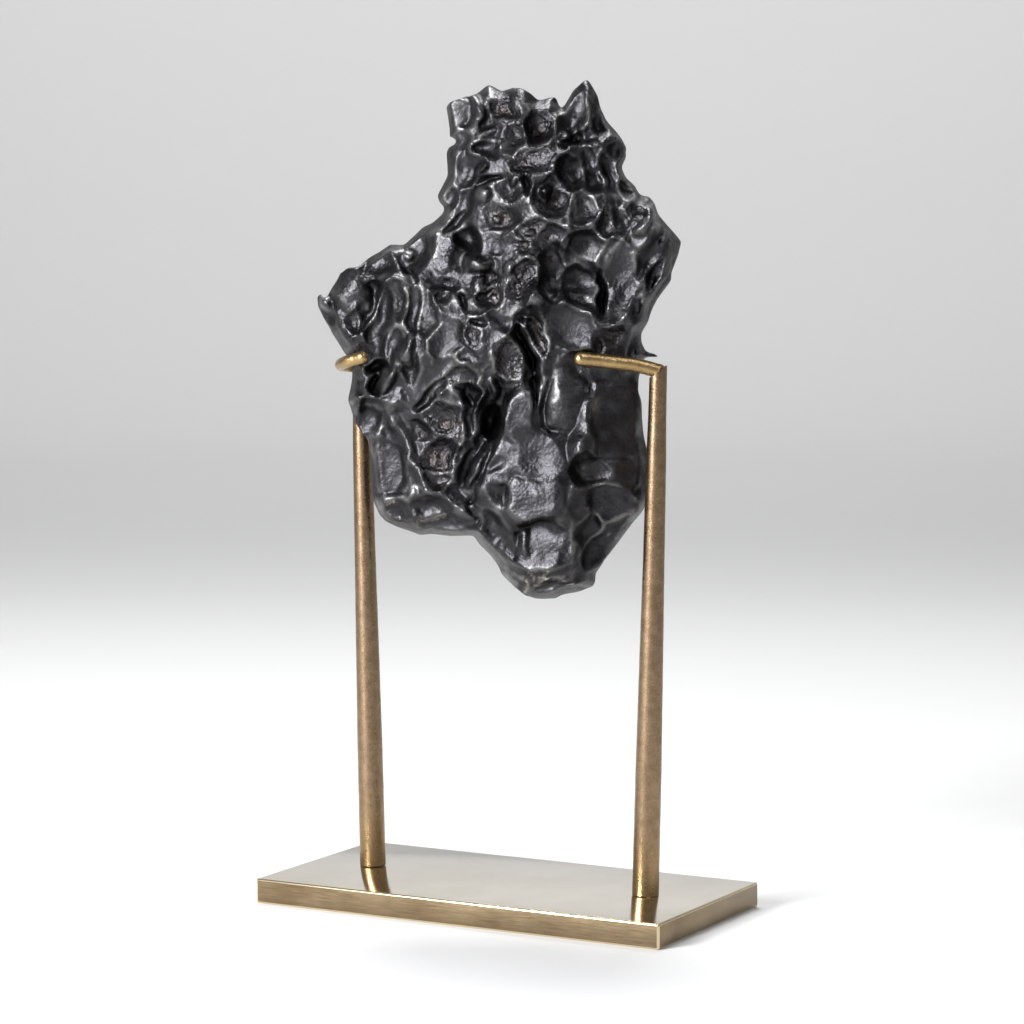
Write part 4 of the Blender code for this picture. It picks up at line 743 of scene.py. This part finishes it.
def paint_masks(mesh, relief):
    """Stores each mask on the mesh's points: crests for worn metal and painted highlight, hollows for painted shade and
    rust, rough patches for wrinkles and dullness.
    """
    points = mesh_points(mesh) / MM
    across = points[:, 0] * math.cos(FACE_TURN) + points[:, 1] * math.sin(FACE_TURN)
    forward = points[:, 0] * math.sin(FACE_TURN) - points[:, 1] * math.cos(FACE_TURN)
    height = points[:, 2]
    forward = forward - SHEET_SLOPE * across
    front = relief.sample(relief.front, across, height)
    back = -relief.sample(relief.back, across, height)
    facing = np.clip((forward - back) / np.maximum(front - back, 1.0), 0.0, 1.0)
    facing = np.clip((facing - 0.35) / 0.3, 0.0, 1.0)
    scattered = 0.55 + 0.5 * value_noise(relief.across, relief.height, 7.0, 81)
    scattered = np.clip(scattered, 0.1, 1.0)
    # Crest colour: worn metal and painted highlight on sharp edges and the listed ridges
    crest_wear_and_highlight = relief.crest_mask(relief.front) * scattered
    crest_wear_and_highlight = np.maximum(crest_wear_and_highlight, relief.wear_and_highlight)
    crest_wear_and_highlight = relief.sample(crest_wear_and_highlight, across, height) * facing
    back_crest = relief.crest_mask(relief.back) * scattered * scattered
    crest_wear_and_highlight = crest_wear_and_highlight + relief.sample(back_crest, across, height) * (1.0 - facing)
    # Hollow mask: drives painted shade and rust in the pits
    hollow = relief.sample(relief.hollow_mask(relief.front), across, height) * facing
    hollow = hollow + relief.sample(relief.hollow_mask(relief.back), across, height) * (1.0 - facing)
    add_mask(mesh, "crest_wear_and_highlight", crest_wear_and_highlight)
    add_mask(mesh, "hollow", hollow)
    rough = relief.sample(relief.rough, across, height) * facing
    rough = rough + relief.sample(relief.back_rough, across, height) * (1.0 - facing)
    add_mask(mesh, "rough", rough)


def new_group(name, inputs, outputs):
    """A shader node group with named sockets; inputs give a kind and a default."""
    group = bpy.data.node_groups.new(name, "ShaderNodeTree")
    for label, kind, default in inputs:
        socket = group.interface.new_socket(name=label, in_out="INPUT", socket_type=kind)
        if default is not None:
            socket.default_value = default
    for label, kind in outputs:
        group.interface.new_socket(name=label, in_out="OUTPUT", socket_type=kind)
    enter = group.nodes.new("NodeGroupInput")
    leave = group.nodes.new("NodeGroupOutput")
    return group, enter, leave


def node(tree, kind, **settings):
    made = tree.nodes.new(kind)
    for name, value in settings.items():
        setattr(made, name, value)
    return made


def connect(tree, source, target):
    tree.links.new(source, target)


def noise(tree, vector, scale, detail=4.0, roughness=0.55):
    texture = node(tree, "ShaderNodeTexNoise")
    texture.inputs["Scale"].default_value = scale
    texture.inputs["Detail"].default_value = detail
    texture.inputs["Roughness"].default_value = roughness
    if vector is not None:
        connect(tree, vector, texture.inputs["Vector"])
    return texture


def ramp(tree, value, low, high, to_low=0.0, to_high=1.0):
    """A clamped straight ramp from one range to another."""
    mapped = node(tree, "ShaderNodeMapRange")
    mapped.inputs["From Min"].default_value = low
    mapped.inputs["From Max"].default_value = high
    mapped.inputs["To Min"].default_value = to_low
    mapped.inputs["To Max"].default_value = to_high
    connect(tree, value, mapped.inputs["Value"])
    return mapped.outputs["Result"]


def arithmetic(tree, operation, first, second, clamp=False):
    made = node(tree, "ShaderNodeMath", operation=operation, use_clamp=clamp)
    for socket, value in zip(made.inputs, (first, second)):
        if isinstance(value, (int, float)):
            socket.default_value = value
        else:
            connect(tree, value, socket)
    return made.outputs["Value"]


def blend_colour(tree, share, first, second):
    """A mix of two colours, each a plain colour or a socket."""
    made = node(tree, "ShaderNodeMix", data_type="RGBA")
    connect(tree, share, made.inputs["Factor"])
    for socket, value in ((made.inputs[6], first), (made.inputs[7], second)):
        if isinstance(value, tuple):
            socket.default_value = value
        else:
            connect(tree, value, socket)
    return made.outputs[2]


def speckle_group():
    """Uneven tone in two sizes, used by every metal of the piece."""
    group, enter, leave = new_group(
        "Mottling",
        [("Coarse Size", "NodeSocketFloat", 60.0), ("Fine Size", "NodeSocketFloat", 900.0)],
        [("Coarse", "NodeSocketFloat"), ("Fine", "NodeSocketFloat")])
    place_of = node(group, "ShaderNodeTexCoord").outputs["Object"]
    for size, result, detail in (("Coarse Size", "Coarse", 4.0), ("Fine Size", "Fine", 3.0)):
        texture = noise(group, place_of, 1.0, detail)
        connect(group, enter.outputs[size], texture.inputs["Scale"])
        connect(group, ramp(group, texture.outputs["Fac"], 0.3, 0.7), leave.inputs[result])
    return group


def use_group(tree, group, **values):
    made = node(tree, "ShaderNodeGroup", node_tree=group)
    for name, value in values.items():
        made.inputs[name.replace("_", " ")].default_value = value
    return made


def plain_material(name, metallic=1.0):
    material = bpy.data.materials.new(name)
    material.use_nodes = True
    shader = material.node_tree.nodes["Principled BSDF"]
    shader.inputs["Metallic"].default_value = metallic
    return material, material.node_tree, shader


def iron_material(mottling, sizes):
    """Dark satin iron: bright crests of worn metal with painted highlight, wrinkled and faintly rusty pit floors, and
    painted shade darkening the hollows.
    """
    material, tree, shader = plain_material("meteoritic_iron")
    crest_wear_and_highlight = node(tree, "ShaderNodeAttribute", attribute_name="crest_wear_and_highlight").outputs["Fac"]
    hollow = node(tree, "ShaderNodeAttribute", attribute_name="hollow").outputs["Fac"]
    rough = node(tree, "ShaderNodeAttribute", attribute_name="rough").outputs["Fac"]
    tone = use_group(tree, mottling, Coarse_Size=90.0, Fine_Size=1400.0)
    base = blend_colour(tree, tone.outputs["Coarse"], tuple(sizes.iron_dark), tuple(sizes.iron_light))
    rust_share = arithmetic(tree, "MULTIPLY", rough, tone.outputs["Coarse"])
    rust_share = arithmetic(tree, "MULTIPLY", rust_share, ramp(tree, hollow, 0.0, 0.7, 0.1, 0.75))
    base = blend_colour(tree, rust_share, base, tuple(sizes.rust))
    # Pale worn metal and painted highlight on the crests
    wear_and_highlight = arithmetic(tree, "MULTIPLY", crest_wear_and_highlight, ramp(tree, tone.outputs["Coarse"], 0.3, 0.9, 0.1, 0.9))
    base = blend_colour(tree, wear_and_highlight, base, tuple(sizes.worn_iron_and_highlight))
    # Painted shade: the base colour darkens in the hollows
    painted_hollow_shade = ramp(tree, hollow, 0.0, 0.8, 1.0, 0.58)
    shade = node(tree, "ShaderNodeMix", data_type="RGBA", blend_type="MULTIPLY")
    shade.inputs["Factor"].default_value = 1.0
    connect(tree, base, shade.inputs[6])
    connect(tree, painted_hollow_shade, shade.inputs[7])
    connect(tree, shade.outputs[2], shader.inputs["Base Color"])
    gloss = ramp(tree, tone.outputs["Coarse"], 0.0, 1.0, sizes.iron_gloss_low, sizes.iron_gloss_high)
    gloss = arithmetic(tree, "ADD", gloss, arithmetic(tree, "MULTIPLY", rough, -0.1))
    gloss = arithmetic(tree, "ADD", gloss, ramp(tree, tone.outputs["Fine"], 0.0, 1.0, -0.05, 0.05))
    connect(tree, gloss, shader.inputs["Roughness"])
    place_of = node(tree, "ShaderNodeTexCoord").outputs["Object"]
    wrinkle = noise(tree, place_of, 700.0, 3.0, 0.6)
    wrinkle.noise_dimensions = "3D"
    cells = node(tree, "ShaderNodeTexVoronoi", feature="SMOOTH_F1")
    cells.inputs["Scale"].default_value = 700.0
    connect(tree, place_of, cells.inputs["Vector"])
    coarse_bump = arithmetic(tree, "ADD", wrinkle.outputs["Fac"], cells.outputs["Distance"])
    grain = noise(tree, place_of, 2200.0, 2.0, 0.6)
    relief = arithmetic(tree, "MULTIPLY", coarse_bump, ramp(tree, rough, 0.0, 1.0, 0.2, 1.1))
    relief = arithmetic(tree, "ADD", relief, arithmetic(tree, "MULTIPLY", grain.outputs["Fac"], 0.1))
    bump = node(tree, "ShaderNodeBump")
    bump.inputs["Strength"].default_value = 1.0
    bump.inputs["Distance"].default_value = 0.0006
    connect(tree, relief, bump.inputs["Height"])
    connect(tree, bump.outputs["Normal"], shader.inputs["Normal"])
    return material


def post_material(mottling, sizes):
    """Brown brass of the posts: satin and mottled, with a painted reflection of the plate making them more golden near
    their foot.
    """
    material, tree, shader = plain_material("aged_brass")
    tone = use_group(tree, mottling, Coarse_Size=260.0, Fine_Size=1500.0)
    place_of = node(tree, "ShaderNodeTexCoord").outputs["Object"]
    height = node(tree, "ShaderNodeSeparateXYZ")
    connect(tree, place_of, height.inputs["Vector"])
    base = blend_colour(tree, tone.outputs["Coarse"], tuple(sizes.post_dark), tuple(sizes.post_light))
    # Painted reflection of the plate: the posts take the golden rod colour towards their foot
    foot = ramp(tree, height.outputs["Z"], 0.012, 0.045, 0.75, 0.0)
    base = blend_colour(tree, foot, base, tuple(sizes.rod_dark))
    spots = ramp(tree, tone.outputs["Fine"], 0.7, 1.0, 0.0, 0.08)
    base = blend_colour(tree, spots, base, tuple(sizes.worn_brass))
    connect(tree, base, shader.inputs["Base Color"])
    connect(tree, ramp(tree, tone.outputs["Fine"], 0.0, 1.0, 0.24, 0.38), shader.inputs["Roughness"])
    bump = node(tree, "ShaderNodeBump")
    bump.inputs["Strength"].default_value = 0.12
    bump.inputs["Distance"].default_value = 0.0003
    connect(tree, tone.outputs["Fine"], bump.inputs["Height"])
    connect(tree, bump.outputs["Normal"], shader.inputs["Normal"])
    return material


def rod_material(mottling, sizes):
    """Golden brass of the arms: satin and softly mottled."""
    material, tree, shader = plain_material("golden_brass")
    tone = use_group(tree, mottling, Coarse_Size=110.0, Fine_Size=900.0)
    base = blend_colour(tree, tone.outputs["Coarse"], tuple(sizes.rod_dark), tuple(sizes.rod_light))
    connect(tree, base, shader.inputs["Base Color"])
    connect(tree, ramp(tree, tone.outputs["Fine"], 0.0, 1.0, 0.30, 0.42), shader.inputs["Roughness"])
    bump = node(tree, "ShaderNodeBump")
    bump.inputs["Strength"].default_value = 0.25
    bump.inputs["Distance"].default_value = 0.0004
    connect(tree, tone.outputs["Fine"], bump.inputs["Height"])
    connect(tree, bump.outputs["Normal"], shader.inputs["Normal"])
    return material


def plate_material(mottling, name, tones, smoothest, dullest):
    """Brass of the plate in two tones, brushed along its length."""
    material, tree, shader = plain_material(name)
    tone = use_group(tree, mottling, Coarse_Size=40.0, Fine_Size=700.0)
    place_of = node(tree, "ShaderNodeTexCoord").outputs["Object"]
    stretch = node(tree, "ShaderNodeMapping")
    stretch.inputs["Scale"].default_value = (0.03, 1.0, 1.0)
    connect(tree, place_of, stretch.inputs["Vector"])
    brush = noise(tree, stretch.outputs["Vector"], 2600.0, 4.0, 0.7)
    base = blend_colour(tree, tone.outputs["Coarse"], tuple(tones[0]), tuple(tones[1]))
    streak = ramp(tree, brush.outputs["Fac"], 0.3, 0.7, 1.0 - 2.0 * (smoothest - 0.02), 1.0 + 0.4 * smoothest)
    shade = node(tree, "ShaderNodeMix", data_type="RGBA", blend_type="MULTIPLY")
    shade.inputs["Factor"].default_value = 1.0
    connect(tree, base, shade.inputs[6])
    connect(tree, streak, shade.inputs[7])
    connect(tree, shade.outputs[2], shader.inputs["Base Color"])
    connect(tree, ramp(tree, brush.outputs["Fac"], 0.3, 0.7, smoothest, dullest), shader.inputs["Roughness"])
    bump = node(tree, "ShaderNodeBump")
    bump.inputs["Strength"].default_value = 0.6 * smoothest
    bump.inputs["Distance"].default_value = 0.0002
    connect(tree, brush.outputs["Fac"], bump.inputs["Height"])
    connect(tree, bump.outputs["Normal"], shader.inputs["Normal"])
    return material


def post_radius(height):
    """Radius of a post at a height, in millimetres."""
    heights = [row[0] for row in POST_PROFILE]
    radii = [row[1] for row in POST_PROFILE]
    return float(np.interp(height, heights, radii))


def post_centre(name, height):
    """World point on a post's axis at a height in millimetres."""
    foot_x, lean, top = POSTS[name]
    return Vector((foot_x + lean * (height - PLATE[2]), POST_Y, height)) * MM


def smooth_route(points, samples):
    """Evenly spread points on a smooth curve through the route's own points."""
    knots = [points[0]] + list(points) + [points[-1]]
    dense = []
    for index in range(1, len(knots) - 2):
        before, start, end, after = knots[index - 1:index + 3]
        for step in range(24):
            t = step / 24.0
            dense.append(0.5 * (2.0 * start + (end - before) * t
                                + (2.0 * before - 5.0 * start + 4.0 * end - after) * t * t
                                + (3.0 * start - before - 3.0 * end + after) * t ** 3))
    dense.append(points[-1])
    lengths = [0.0]
    for first, second in zip(dense[:-1], dense[1:]):
        lengths.append(lengths[-1] + (second - first).length)
    places = np.linspace(0.0, lengths[-1], samples)
    columns = [np.interp(places, lengths, [point[axis] for point in dense]) for axis in range(3)]
    return [Vector(spot) for spot in zip(*columns)], places


def tube(centres, radii, sides):
    """A closed round tube with rings of the given radii square to its route."""
    body = bmesh.new()
    rings = []
    normal = None
    for index, (centre, radius) in enumerate(zip(centres, radii)):
        along = (centres[min(index + 1, len(centres) - 1)] - centres[max(index - 1, 0)]).normalized()
        if normal is None:
            normal = along.orthogonal()
        normal = (normal - along * normal.dot(along)).normalized()
        across = along.cross(normal)
        ring = []
        for side in range(sides):
            angle = 2.0 * math.pi * side / sides
            ring.append(body.verts.new(centre + radius * (math.cos(angle) * normal + math.sin(angle) * across)))
        rings.append(ring)
    for lower, upper in zip(rings[:-1], rings[1:]):
        for side in range(sides):
            after = (side + 1) % sides
            body.faces.new((lower[side], lower[after], upper[after], upper[side]))
    body.faces.new(rings[0][::-1])
    body.faces.new(rings[-1])
    bmesh.ops.recalc_face_normals(body, faces=body.faces[:])
    return body


def cut_off(body, point, direction):
    """Cuts the body at a plane, drops what lies in the direction and closes the cut."""
    everything = body.verts[:] + body.edges[:] + body.faces[:]
    bmesh.ops.bisect_plane(body, geom=everything, plane_co=point, plane_no=direction, clear_outer=True)
    rim = [edge for edge in body.edges if edge.is_boundary]
    bmesh.ops.holes_fill(body, edges=rim, sides=0)


def finish_metal(body, name, material, node_name, angle=35.0):
    """Turns the body into an object that stands for a solid of the stand."""
    mesh = bpy.data.meshes.new(name)
    body.to_mesh(mesh)
    body.free()
    item = link_object(name, mesh, material)
    mesh.shade_smooth()
    mesh.set_sharp_from_angle(angle=math.radians(angle))
    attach(item, "root")
    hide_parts(node_name)
    return item


def seam_plane(shift):
    """Point and upward direction of the slanted seam, moved up by a distance in millimetres."""
    across, height, rise = SEAM
    point = place(across, height + shift, 30.9)
    direction = Vector((-rise * math.cos(FACE_TURN), -rise * math.sin(FACE_TURN), 1.0)).normalized()
    return point, direction


def build_post(name, material):
    """A hand-finished tapering rod; the right one ends in the slanted seam with a ragged lip."""
    top = POSTS[name][2] + (6.5 if name == "right_post" else 1.4)
    heights = [POST_FOOT, POST_FOOT + 0.3] + list(np.arange(14.0, top - 1.5, 4.0)) + [top - 0.6, top]
    chance = np.random.default_rng(5)
    radii = [post_radius(height) + chance.uniform(-0.03, 0.03) for height in heights]
    radii[0] -= 0.25
    radii[-1] -= 0.5
    body = tube([post_centre(name, height) for height in heights], [radius * MM for radius in radii], 56)
    if name == "right_post":
        point, direction = seam_plane(-0.12)
        cut_off(body, point, direction)
        for corner in body.verts:
            if corner.co.z > 216.6 * MM:
                corner.co.z += chance.uniform(-0.3, 0.7) * MM
    item = finish_metal(body, name + "_rod", material, name)


def build_arm(name, material):
    """A bent round rod with a round tip."""
    radius = ARM_RADII[name] * MM
    post = name.replace("hook", "post")
    start = post_centre(post, POSTS[post][2])
    start.z += 0.3 * MM + radius - (0.9 * MM if name == "right_hook" else 0.0)
    points = [start + Vector(ARM_STARTS[name]) * MM, start] + [place(*spot) for spot in ARM_ROUTES[name]]
    centres, places = smooth_route(points, 220)
    length = places[-1]
    radii = []
    for reach in places:
        share = 1.0 - min(reach, length - reach, radius) / radius
        radii.append(radius * max(math.sqrt(max(1.0 - share * share, 0.0)), 0.05))
    body = tube(centres, radii, 40)
    if name == "right_hook":
        point, direction = seam_plane(0.12)
        cut_off(body, point, -direction)
    item = finish_metal(body, name + "_rod", material, name)


def build_plate(material, edge_material, painted_reflection_top):
    """The solid plate with softly worn, brighter edges."""
    length, depth, height, edge = PLATE
    body = bmesh.new()
    bmesh.ops.create_cube(body, size=1.0)
    bmesh.ops.scale(body, vec=(length * MM, depth * MM, height * MM), verts=body.verts[:])
    bmesh.ops.translate(body, vec=(0.0, 0.0, height * MM / 2), verts=body.verts[:])
    bmesh.ops.bevel(body, geom=body.edges[:], offset=edge * MM, segments=4, profile=0.5, affect="EDGES")
    item = finish_metal(body, "base_plate", material, "base", 60.0)
    item.data.materials.append(edge_material)
    item.data.materials.append(painted_reflection_top)
    for face in item.data.polygons:
        # Upward faces take the paler top brass, a painted reflection
        if face.normal.z > 0.999:
            face.material_index = 2
        elif max(abs(part) for part in face.normal) < 0.999:
            face.material_index = 1


class MeteoriteSizes(bpy.types.PropertyGroup):
    """Sizes and colours of the meteorite."""
    voxel: bpy.props.FloatProperty(name="Mesh size", description="Edge of the meteorite's small faces",
                                   default=0.62 * MM, unit="LENGTH", precision=5)
    triangles: bpy.props.IntProperty(name="Triangles", description="Most triangles in the meteorite's mesh",
                                     default=192000)
    iron_dark: bpy.props.FloatVectorProperty(name="Dark iron", description="Darker tone of the iron",
                                             default=(0.027, 0.0265, 0.029, 1.0), size=4, subtype="COLOR")
    iron_light: bpy.props.FloatVectorProperty(name="Light iron", description="Lighter tone of the iron",
                                              default=(0.054, 0.0535, 0.058, 1.0), size=4, subtype="COLOR")
    # Pale crest colour: worn metal and painted highlight
    worn_iron_and_highlight: bpy.props.FloatVectorProperty(name="Worn iron", description="Bare metal along the crests",
                                             default=(0.34, 0.335, 0.33, 1.0), size=4, subtype="COLOR")
    rust: bpy.props.FloatVectorProperty(name="Rust", description="Faint rust in the rough pits",
                                        default=(0.085, 0.055, 0.042, 1.0), size=4, subtype="COLOR")
    iron_gloss_low: bpy.props.FloatProperty(name="Smoothest iron", description="Roughness where smoothest",
                                            default=0.34)
    iron_gloss_high: bpy.props.FloatProperty(name="Dullest iron", description="Roughness where dullest",
                                             default=0.5)


class StandSizes(bpy.types.PropertyGroup):
    """Sizes and colours of the stand."""
    rod_dark: bpy.props.FloatVectorProperty(name="Dark rod brass", description="Darker tone of the rods",
                                            default=(0.30, 0.20, 0.09, 1.0), size=4, subtype="COLOR")
    rod_light: bpy.props.FloatVectorProperty(name="Light rod brass", description="Lighter tone of the rods",
                                             default=(0.44, 0.31, 0.15, 1.0), size=4, subtype="COLOR")
    post_dark: bpy.props.FloatVectorProperty(name="Dark post brass", description="Darker tone of the posts",
                                             default=(0.215, 0.145, 0.086, 1.0), size=4, subtype="COLOR")
    post_light: bpy.props.FloatVectorProperty(name="Light post brass", description="Lighter tone of the posts",
                                              default=(0.315, 0.22, 0.138, 1.0), size=4, subtype="COLOR")
    worn_brass: bpy.props.FloatVectorProperty(name="Worn brass", description="Bright brass of worn edges",
                                              default=(0.72, 0.60, 0.40, 1.0), size=4, subtype="COLOR")
    plate_dark: bpy.props.FloatVectorProperty(name="Dark plate brass", description="Darker tone of the plate",
                                              default=(0.23, 0.165, 0.095, 1.0), size=4, subtype="COLOR")
    plate_light: bpy.props.FloatVectorProperty(name="Light plate brass",
                                               description="Lighter tone of the plate",
                                               default=(0.34, 0.255, 0.155, 1.0), size=4, subtype="COLOR")
    # The plate's top is painted far paler than its sides: painted reflection of the bright surroundings
    top_dark_painted_reflection: bpy.props.FloatVectorProperty(name="Dark plate top", description="Darker tone of the plate's top",
                                            default=(0.80, 0.73, 0.62, 1.0), size=4, subtype="COLOR")
    top_light_painted_reflection: bpy.props.FloatVectorProperty(name="Light plate top",
                                             description="Lighter tone of the plate's top",
                                             default=(0.90, 0.84, 0.75, 1.0), size=4, subtype="COLOR")


class StageSizes(bpy.types.PropertyGroup):
    """Settings of the studio."""
    lens: bpy.props.FloatProperty(name="Lens", description="Focal length of the camera in millimetres",
                                  default=120.87)
    camera_place: bpy.props.FloatVectorProperty(name="Camera", description="Where the camera stands",
                                                default=(0.6512, -1.1902, 0.2873), subtype="TRANSLATION")
    camera_target: bpy.props.FloatVectorProperty(name="Target", description="Point at the image's middle",
                                                 default=(0.0025481, 0.0, 0.158265), subtype="TRANSLATION")
    floor_colour: bpy.props.FloatVectorProperty(name="Floor", description="Colour of the floor",
                                                default=(0.66, 0.66, 0.655, 1.0), size=4, subtype="COLOR")
    key_power: bpy.props.FloatProperty(name="Key light", description="Power of the main light",
                                       default=46.0, unit="POWER")
    fill_power: bpy.props.FloatProperty(name="Fill light", description="Power of the fill light",
                                        default=4.0, unit="POWER")
    top_power: bpy.props.FloatProperty(name="Top light", description="Power of the light above",
                                       default=16.0, unit="POWER")
    backdrop_power: bpy.props.FloatProperty(name="Backdrop light", description="Power of the light on the wall",
                                            default=14.0, unit="POWER")


class METEORITE_OT_lump(bpy.types.Operator):
    """Build the scooped iron meteorite in place of its plain solid"""
    bl_idname = "meteorite.lump"
    bl_label = "Build Meteorite"

    def execute(self, context):
        sizes = context.scene.meteorite_sizes
        relief = Relief()
        material = iron_material(bpy.data.node_groups.get("Mottling") or speckle_group(), sizes)
        item = link_object("meteorite_lump", outline_slab(), material)
        apply_remesh(item, 0.9 * MM)
        shape_slab(item.data, relief)
        apply_remesh(item, sizes.voxel)
        triangles = sum(len(face.vertices) - 2 for face in item.data.polygons)
        if triangles > sizes.triangles:
            thin_out = item.modifiers.new("fewer_faces", "DECIMATE")
            thin_out.ratio = sizes.triangles / triangles
            thin_out.use_collapse_triangulate = True
            item.data = evaluated_copy(item)
            item.modifiers.clear()
        print("meteorite triangles", triangles, "kept",
              sum(len(face.vertices) - 2 for face in item.data.polygons))
        item.data.materials.clear()
        item.data.materials.append(material)
        item.data.shade_smooth()
        paint_masks(item.data, relief)
        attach(item, "root")
        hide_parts("meteorite")
        return {"FINISHED"}


class METEORITE_OT_stand(bpy.types.Operator):
    """Build the plate, posts and arms of the stand in place of their plain solids"""
    bl_idname = "meteorite.stand"
    bl_label = "Build Stand"

    def execute(self, context):
        sizes = context.scene.stand_sizes
        mottling = bpy.data.node_groups.get("Mottling") or speckle_group()
        rods = rod_material(mottling, sizes)
        plate = plate_material(mottling, "brushed_brass", (sizes.plate_dark, sizes.plate_light), 0.26, 0.38)
        # Painted reflection: the top gets much paler brass than the sides
        top = plate_material(mottling, "polished_brass_painted_reflection", (sizes.top_dark_painted_reflection, sizes.top_light_painted_reflection), 0.07, 0.13)
        posts = post_material(mottling, sizes)
        edges, tree, shader = plain_material("worn_edge_brass")
        shader.inputs["Base Color"].default_value = tuple(sizes.worn_brass)
        shader.inputs["Roughness"].default_value = 0.24
        for name in POSTS:
            build_post(name, posts)
        for name in ARM_RADII:
            build_arm(name, rods)
        build_plate(plate, edges, top)
        return {"FINISHED"}


def around(turn, lift, distance):
    """A place around the object: degrees from the plate's front, degrees above its middle, metres away."""
    turn = math.radians(turn)
    lift = math.radians(lift)
    reach = distance * math.cos(lift)
    return (reach * math.sin(turn), -reach * math.cos(turn), 0.15 + distance * math.sin(lift))


def softbox(name, where, aim, width, height, power, colour):
    data = bpy.data.lights.new(name, "AREA")
    data.shape = "RECTANGLE"
    data.size = width
    data.size_y = height
    data.energy = power
    data.color = colour
    item = bpy.data.objects.new(name, data)
    bpy.context.scene.collection.objects.link(item)
    item.location = where
    item.rotation_euler = (Vector(aim) - Vector(where)).to_track_quat("-Z", "Y").to_euler()
    return item


class METEORITE_OT_studio(bpy.types.Operator):
    """Add the floor, the soft lights and the camera"""
    bl_idname = "meteorite.studio"
    bl_label = "Build Studio"

    def execute(self, context):
        sizes = context.scene.stage_sizes
        material, tree, shader = plain_material("pale_floor", 0.0)
        shader.inputs["Base Color"].default_value = tuple(sizes.floor_colour)
        shader.inputs["Roughness"].default_value = 0.85
        body = bmesh.new()
        profile = [(0.0, 0.0), (2.2, 0.0)]
        for step in range(1, 13):
            angle = math.radians(90.0 * step / 12)
            profile.append((2.2 + 0.9 * math.sin(angle), 0.9 - 0.9 * math.cos(angle)))
        profile.append((3.1, 2.2))
        rim = [body.verts.new((radius, 0.0, height)) for radius, height in profile]
        edges = [body.edges.new(pair) for pair in zip(rim[:-1], rim[1:])]
        bmesh.ops.spin(body, geom=rim + edges, cent=(0, 0, 0), axis=(0, 0, 1), angle=2 * math.pi, steps=96)
        bmesh.ops.remove_doubles(body, verts=body.verts[:], dist=0.0001)
        bmesh.ops.recalc_face_normals(body, faces=body.faces[:])
        mesh = bpy.data.meshes.new("floor")
        body.to_mesh(mesh)
        body.free()
        floor = link_object("floor", mesh, material)
        mesh.shade_smooth()
        aim = (0.0, 0.0, 0.2)
        softbox("key_light", around(-22.0, 20.0, 1.5), aim, 0.42, 0.6, sizes.key_power, (0.98, 0.985, 1.0))
        softbox("fill_light", around(70.0, 55.0, 1.4), aim, 0.3, 0.3, sizes.fill_power, (0.95, 0.97, 1.0))
        softbox("top_light_painted_reflection", around(-150.0, 66.0, 1.3), aim, 0.5, 0.4, sizes.top_power, (1.0, 1.0, 1.0))
        softbox("backdrop_light", around(208.6, 35.0, 2.2), around(208.6, 10.0, 3.2), 1.8, 0.6,
                sizes.backdrop_power, (1.0, 1.0, 1.0))
        world = bpy.data.worlds.new("studio")
        world.use_nodes = True
        world.node_tree.nodes["Background"].inputs["Color"].default_value = (0.9, 0.92, 0.95, 1.0)
        world.node_tree.nodes["Background"].inputs["Strength"].default_value = 0.25
        context.scene.world = world
        context.scene.view_settings.view_transform = "Standard"
        data = bpy.data.cameras.new("camera")
        data.sensor_width = 36.0
        data.lens = sizes.lens
        camera = bpy.data.objects.new("camera", data)
        context.scene.collection.objects.link(camera)
        camera.location = sizes.camera_place
        back = Vector(sizes.camera_place) - Vector(sizes.camera_target)
        camera.rotation_euler = back.to_track_quat("Z", "Y").to_euler()
        context.scene.camera = camera
        return {"FINISHED"}


class METEORITE_PT_panel(bpy.types.Panel):
    """Lists the steps that build the piece"""
    bl_label = "Meteorite"
    bl_idname = "METEORITE_PT_panel"
    bl_space_type = "VIEW_3D"
    bl_region_type = "UI"
    bl_category = "Meteorite"

    def draw(self, context):
        for kind in OPERATORS:
            self.layout.operator(kind.bl_idname)


OPERATORS = (METEORITE_OT_lump, METEORITE_OT_stand, METEORITE_OT_studio)
GROUPS = (MeteoriteSizes, StandSizes, StageSizes)


def register():
    for kind in GROUPS + OPERATORS + (METEORITE_PT_panel,):
        bpy.utils.register_class(kind)
    bpy.types.Scene.meteorite_sizes = bpy.props.PointerProperty(type=MeteoriteSizes)
    bpy.types.Scene.stand_sizes = bpy.props.PointerProperty(type=StandSizes)
    bpy.types.Scene.stage_sizes = bpy.props.PointerProperty(type=StageSizes)


def unregister():
    del bpy.types.Scene.stage_sizes
    del bpy.types.Scene.stand_sizes
    del bpy.types.Scene.meteorite_sizes
    for kind in reversed(GROUPS + OPERATORS + (METEORITE_PT_panel,)):
        bpy.utils.unregister_class(kind)


def main():
    register()
    bpy.ops.meteorite.lump()
    bpy.ops.meteorite.stand()
    bpy.ops.meteorite.studio()


if __name__ == "__main__":
    main()
